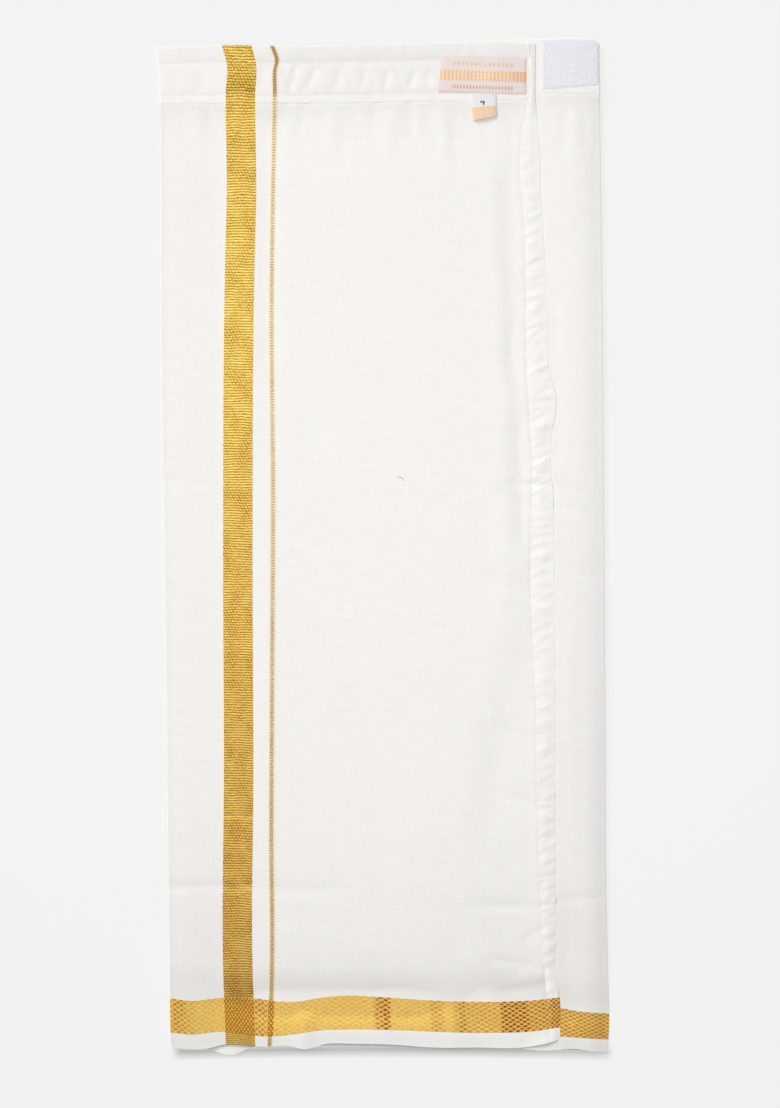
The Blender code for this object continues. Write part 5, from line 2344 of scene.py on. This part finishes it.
@dataclass
class Studio:
    """Pale floor, soft light from the upper left and from overhead, and a camera that looks straight down."""

    picture_height: float = 669.2
    picture_middle: Pair = (4.4, -4.2)
    face_height: float = 3.8
    camera_height: float = 2.2
    sensor: float = 36.0
    key_azimuth: float = 135.0
    key_elevation: float = 27.0
    key_share: float = 0.32  # of the light that a level surface gets
    key_angle: float = 24.0
    box_middle: tuple[float, float, float] = (-0.04, 0.12, 0.85)
    box_size: Pair = (0.9, 0.7)
    box_watts: float = 3.04
    sky: float = 0.37
    floor_size: float = 12.0
    floor_drop: float = 0.05  # keeps the floor clear of the back panel
    floor_tone: float = 0.16
    floor_glow: float = 0.738
    # painted shadow under the lower edge: its half width, start, bow, reach and depth
    painted_shadow_width: float = 131.5
    painted_shadow_start: float = 303.9
    painted_shadow_bow: float = 0.00011
    painted_shadow_reach: float = 5.4
    painted_shadow_depth: float = 0.5

    def camera(self) -> None:
        """Hang the camera over the garment."""
        lens = bpy.data.cameras.new("camera")
        lens.sensor_width = self.sensor
        lens.lens = self.sensor * (self.camera_height - self.face_height * MM) / (self.picture_height * MM)
        lens.clip_end = 50.0
        camera = put("camera", lens)
        camera.location = (self.picture_middle[0] * MM, self.picture_middle[1] * MM, self.camera_height)
        bpy.context.scene.camera = camera

    def key(self) -> None:
        """Shine broad light from the upper left, low enough to model the folds."""
        lamp = bpy.data.lights.new("key", "SUN")
        lamp.angle = math.radians(self.key_angle)
        lamp.energy = self.key_share * math.pi / math.sin(math.radians(self.key_elevation))
        key = put("key", lamp)
        key.rotation_euler = (0.0, math.radians(90.0 - self.key_elevation), math.radians(self.key_azimuth))

    def softbox(self) -> None:
        """Hang a softbox over the upper half, so that the lower end lies in less light."""
        lamp = bpy.data.lights.new("softbox", "AREA")
        lamp.shape = "RECTANGLE"
        lamp.size, lamp.size_y = self.box_size
        lamp.energy = self.box_watts
        put("softbox", lamp).location = self.box_middle

    def surroundings(self) -> None:
        """Fill the surroundings with even pale light."""
        world = bpy.data.worlds.new("surroundings")
        world.use_nodes = True
        background = world.node_tree.nodes["Background"]
        background.inputs["Color"].default_value = (1.0, 1.0, 1.0, 1.0)
        background.inputs["Strength"].default_value = self.sky
        bpy.context.scene.world = world
        bpy.context.scene.view_settings.view_transform = "Standard"

    def painted_shadow_strip(self, wiring: Wiring) -> Signal:
        """Mark the strip of floor under the garment's lower edge where a shadow is painted.

        Args:
            wiring: The floor material's tree.

        Returns:
            The strip, 1 in its middle.
        """
        spot = wiring.node("ShaderNodeTexCoord")
        parts = wiring.node("ShaderNodeSeparateXYZ")
        wiring.tree.links.new(spot.outputs["Object"], parts.inputs[0])
        x, y = (Signal(wiring, parts.outputs[i]) / MM for i in (0, 1))
        past = 0.0 - y - self.painted_shadow_start - x * x * self.painted_shadow_bow
        beside = (self.painted_shadow_width - (x - 6.0).absolute()).over(-3.0, 3.0) * (1.0 - x.over(84.0, 100.0) * 0.25)
        return (1.0 - past.absolute() / self.painted_shadow_reach).clamped() * beside

    def floor(self) -> None:
        """Lay the floor, which glows so that it stays evenly pale, with a painted shadow under the garment's
        lower edge.
        """
        deselect()
        location = (0.0, 0.0, -self.floor_drop * MM)
        bpy.ops.mesh.primitive_plane_add(size=self.floor_size, location=location)
        floor = bpy.context.object
        floor.name = "floor"
        surface = Surface("pale floor")
        surface.give(
            Base_Color=(self.floor_tone,) * 3 + (1.0,),
            Roughness=1.0,
            Specular_IOR_Level=0.0,
            Emission_Color=(1.0, 1.0, 1.0, 1.0),
            # painted shadow: the glow is dimmed along the strip under the lower edge
            Emission_Strength=self.floor_glow * (1.0 - self.painted_shadow_depth * self.painted_shadow_strip(surface.wiring)),
        )
        floor.data.materials.append(surface.material)

    def build(self) -> None:
        """Set up the studio."""
        self.camera()
        self.key()
        self.softbox()
        self.surroundings()
        self.floor()


def main() -> None:
    """Build the pieces in the order in which they are sewn."""
    logging.basicConfig(level=logging.INFO, format="%(message)s")
    cotton = CottonFinish().make()
    thread = ThreadFinish("white thread", (250, 250, 246), (222, 221, 214)).make()
    label_thread = ThreadFinish("label thread", (250, 240, 236), (228, 204, 200)).make()
    slub = ThreadFinish("slub yarn", (255, 255, 255), (252, 252, 248)).make()
    fibre = ThreadFinish("dark fibre", (120, 116, 110), (80, 76, 72)).make()
    ink = ThreadFinish("grey ink", (92, 92, 98), (70, 70, 76)).make()

    Studio().build()
    body = BodyCloth(cotton)
    body.back()
    body.under()
    body.front()
    hem = SideHem(cotton, thread, body)
    hem.cloth()
    hem.stitches()
    casing = WaistCasing(cotton, thread)
    casing.back()
    casing.under()
    casing.front()
    casing.stitches()
    tape = ClosureTape(TapeFinish().make(), thread, casing)
    tape.tape()
    tape.stitches()
    label = WaistLabel(LabelFinish().make(), TabFinish().make(), ink, label_thread, casing)
    label.label()
    label.tab()
    label.number()
    label.stitches()
    StrayThreads(slub, fibre, body).build()


if __name__ == "__main__":
    main()
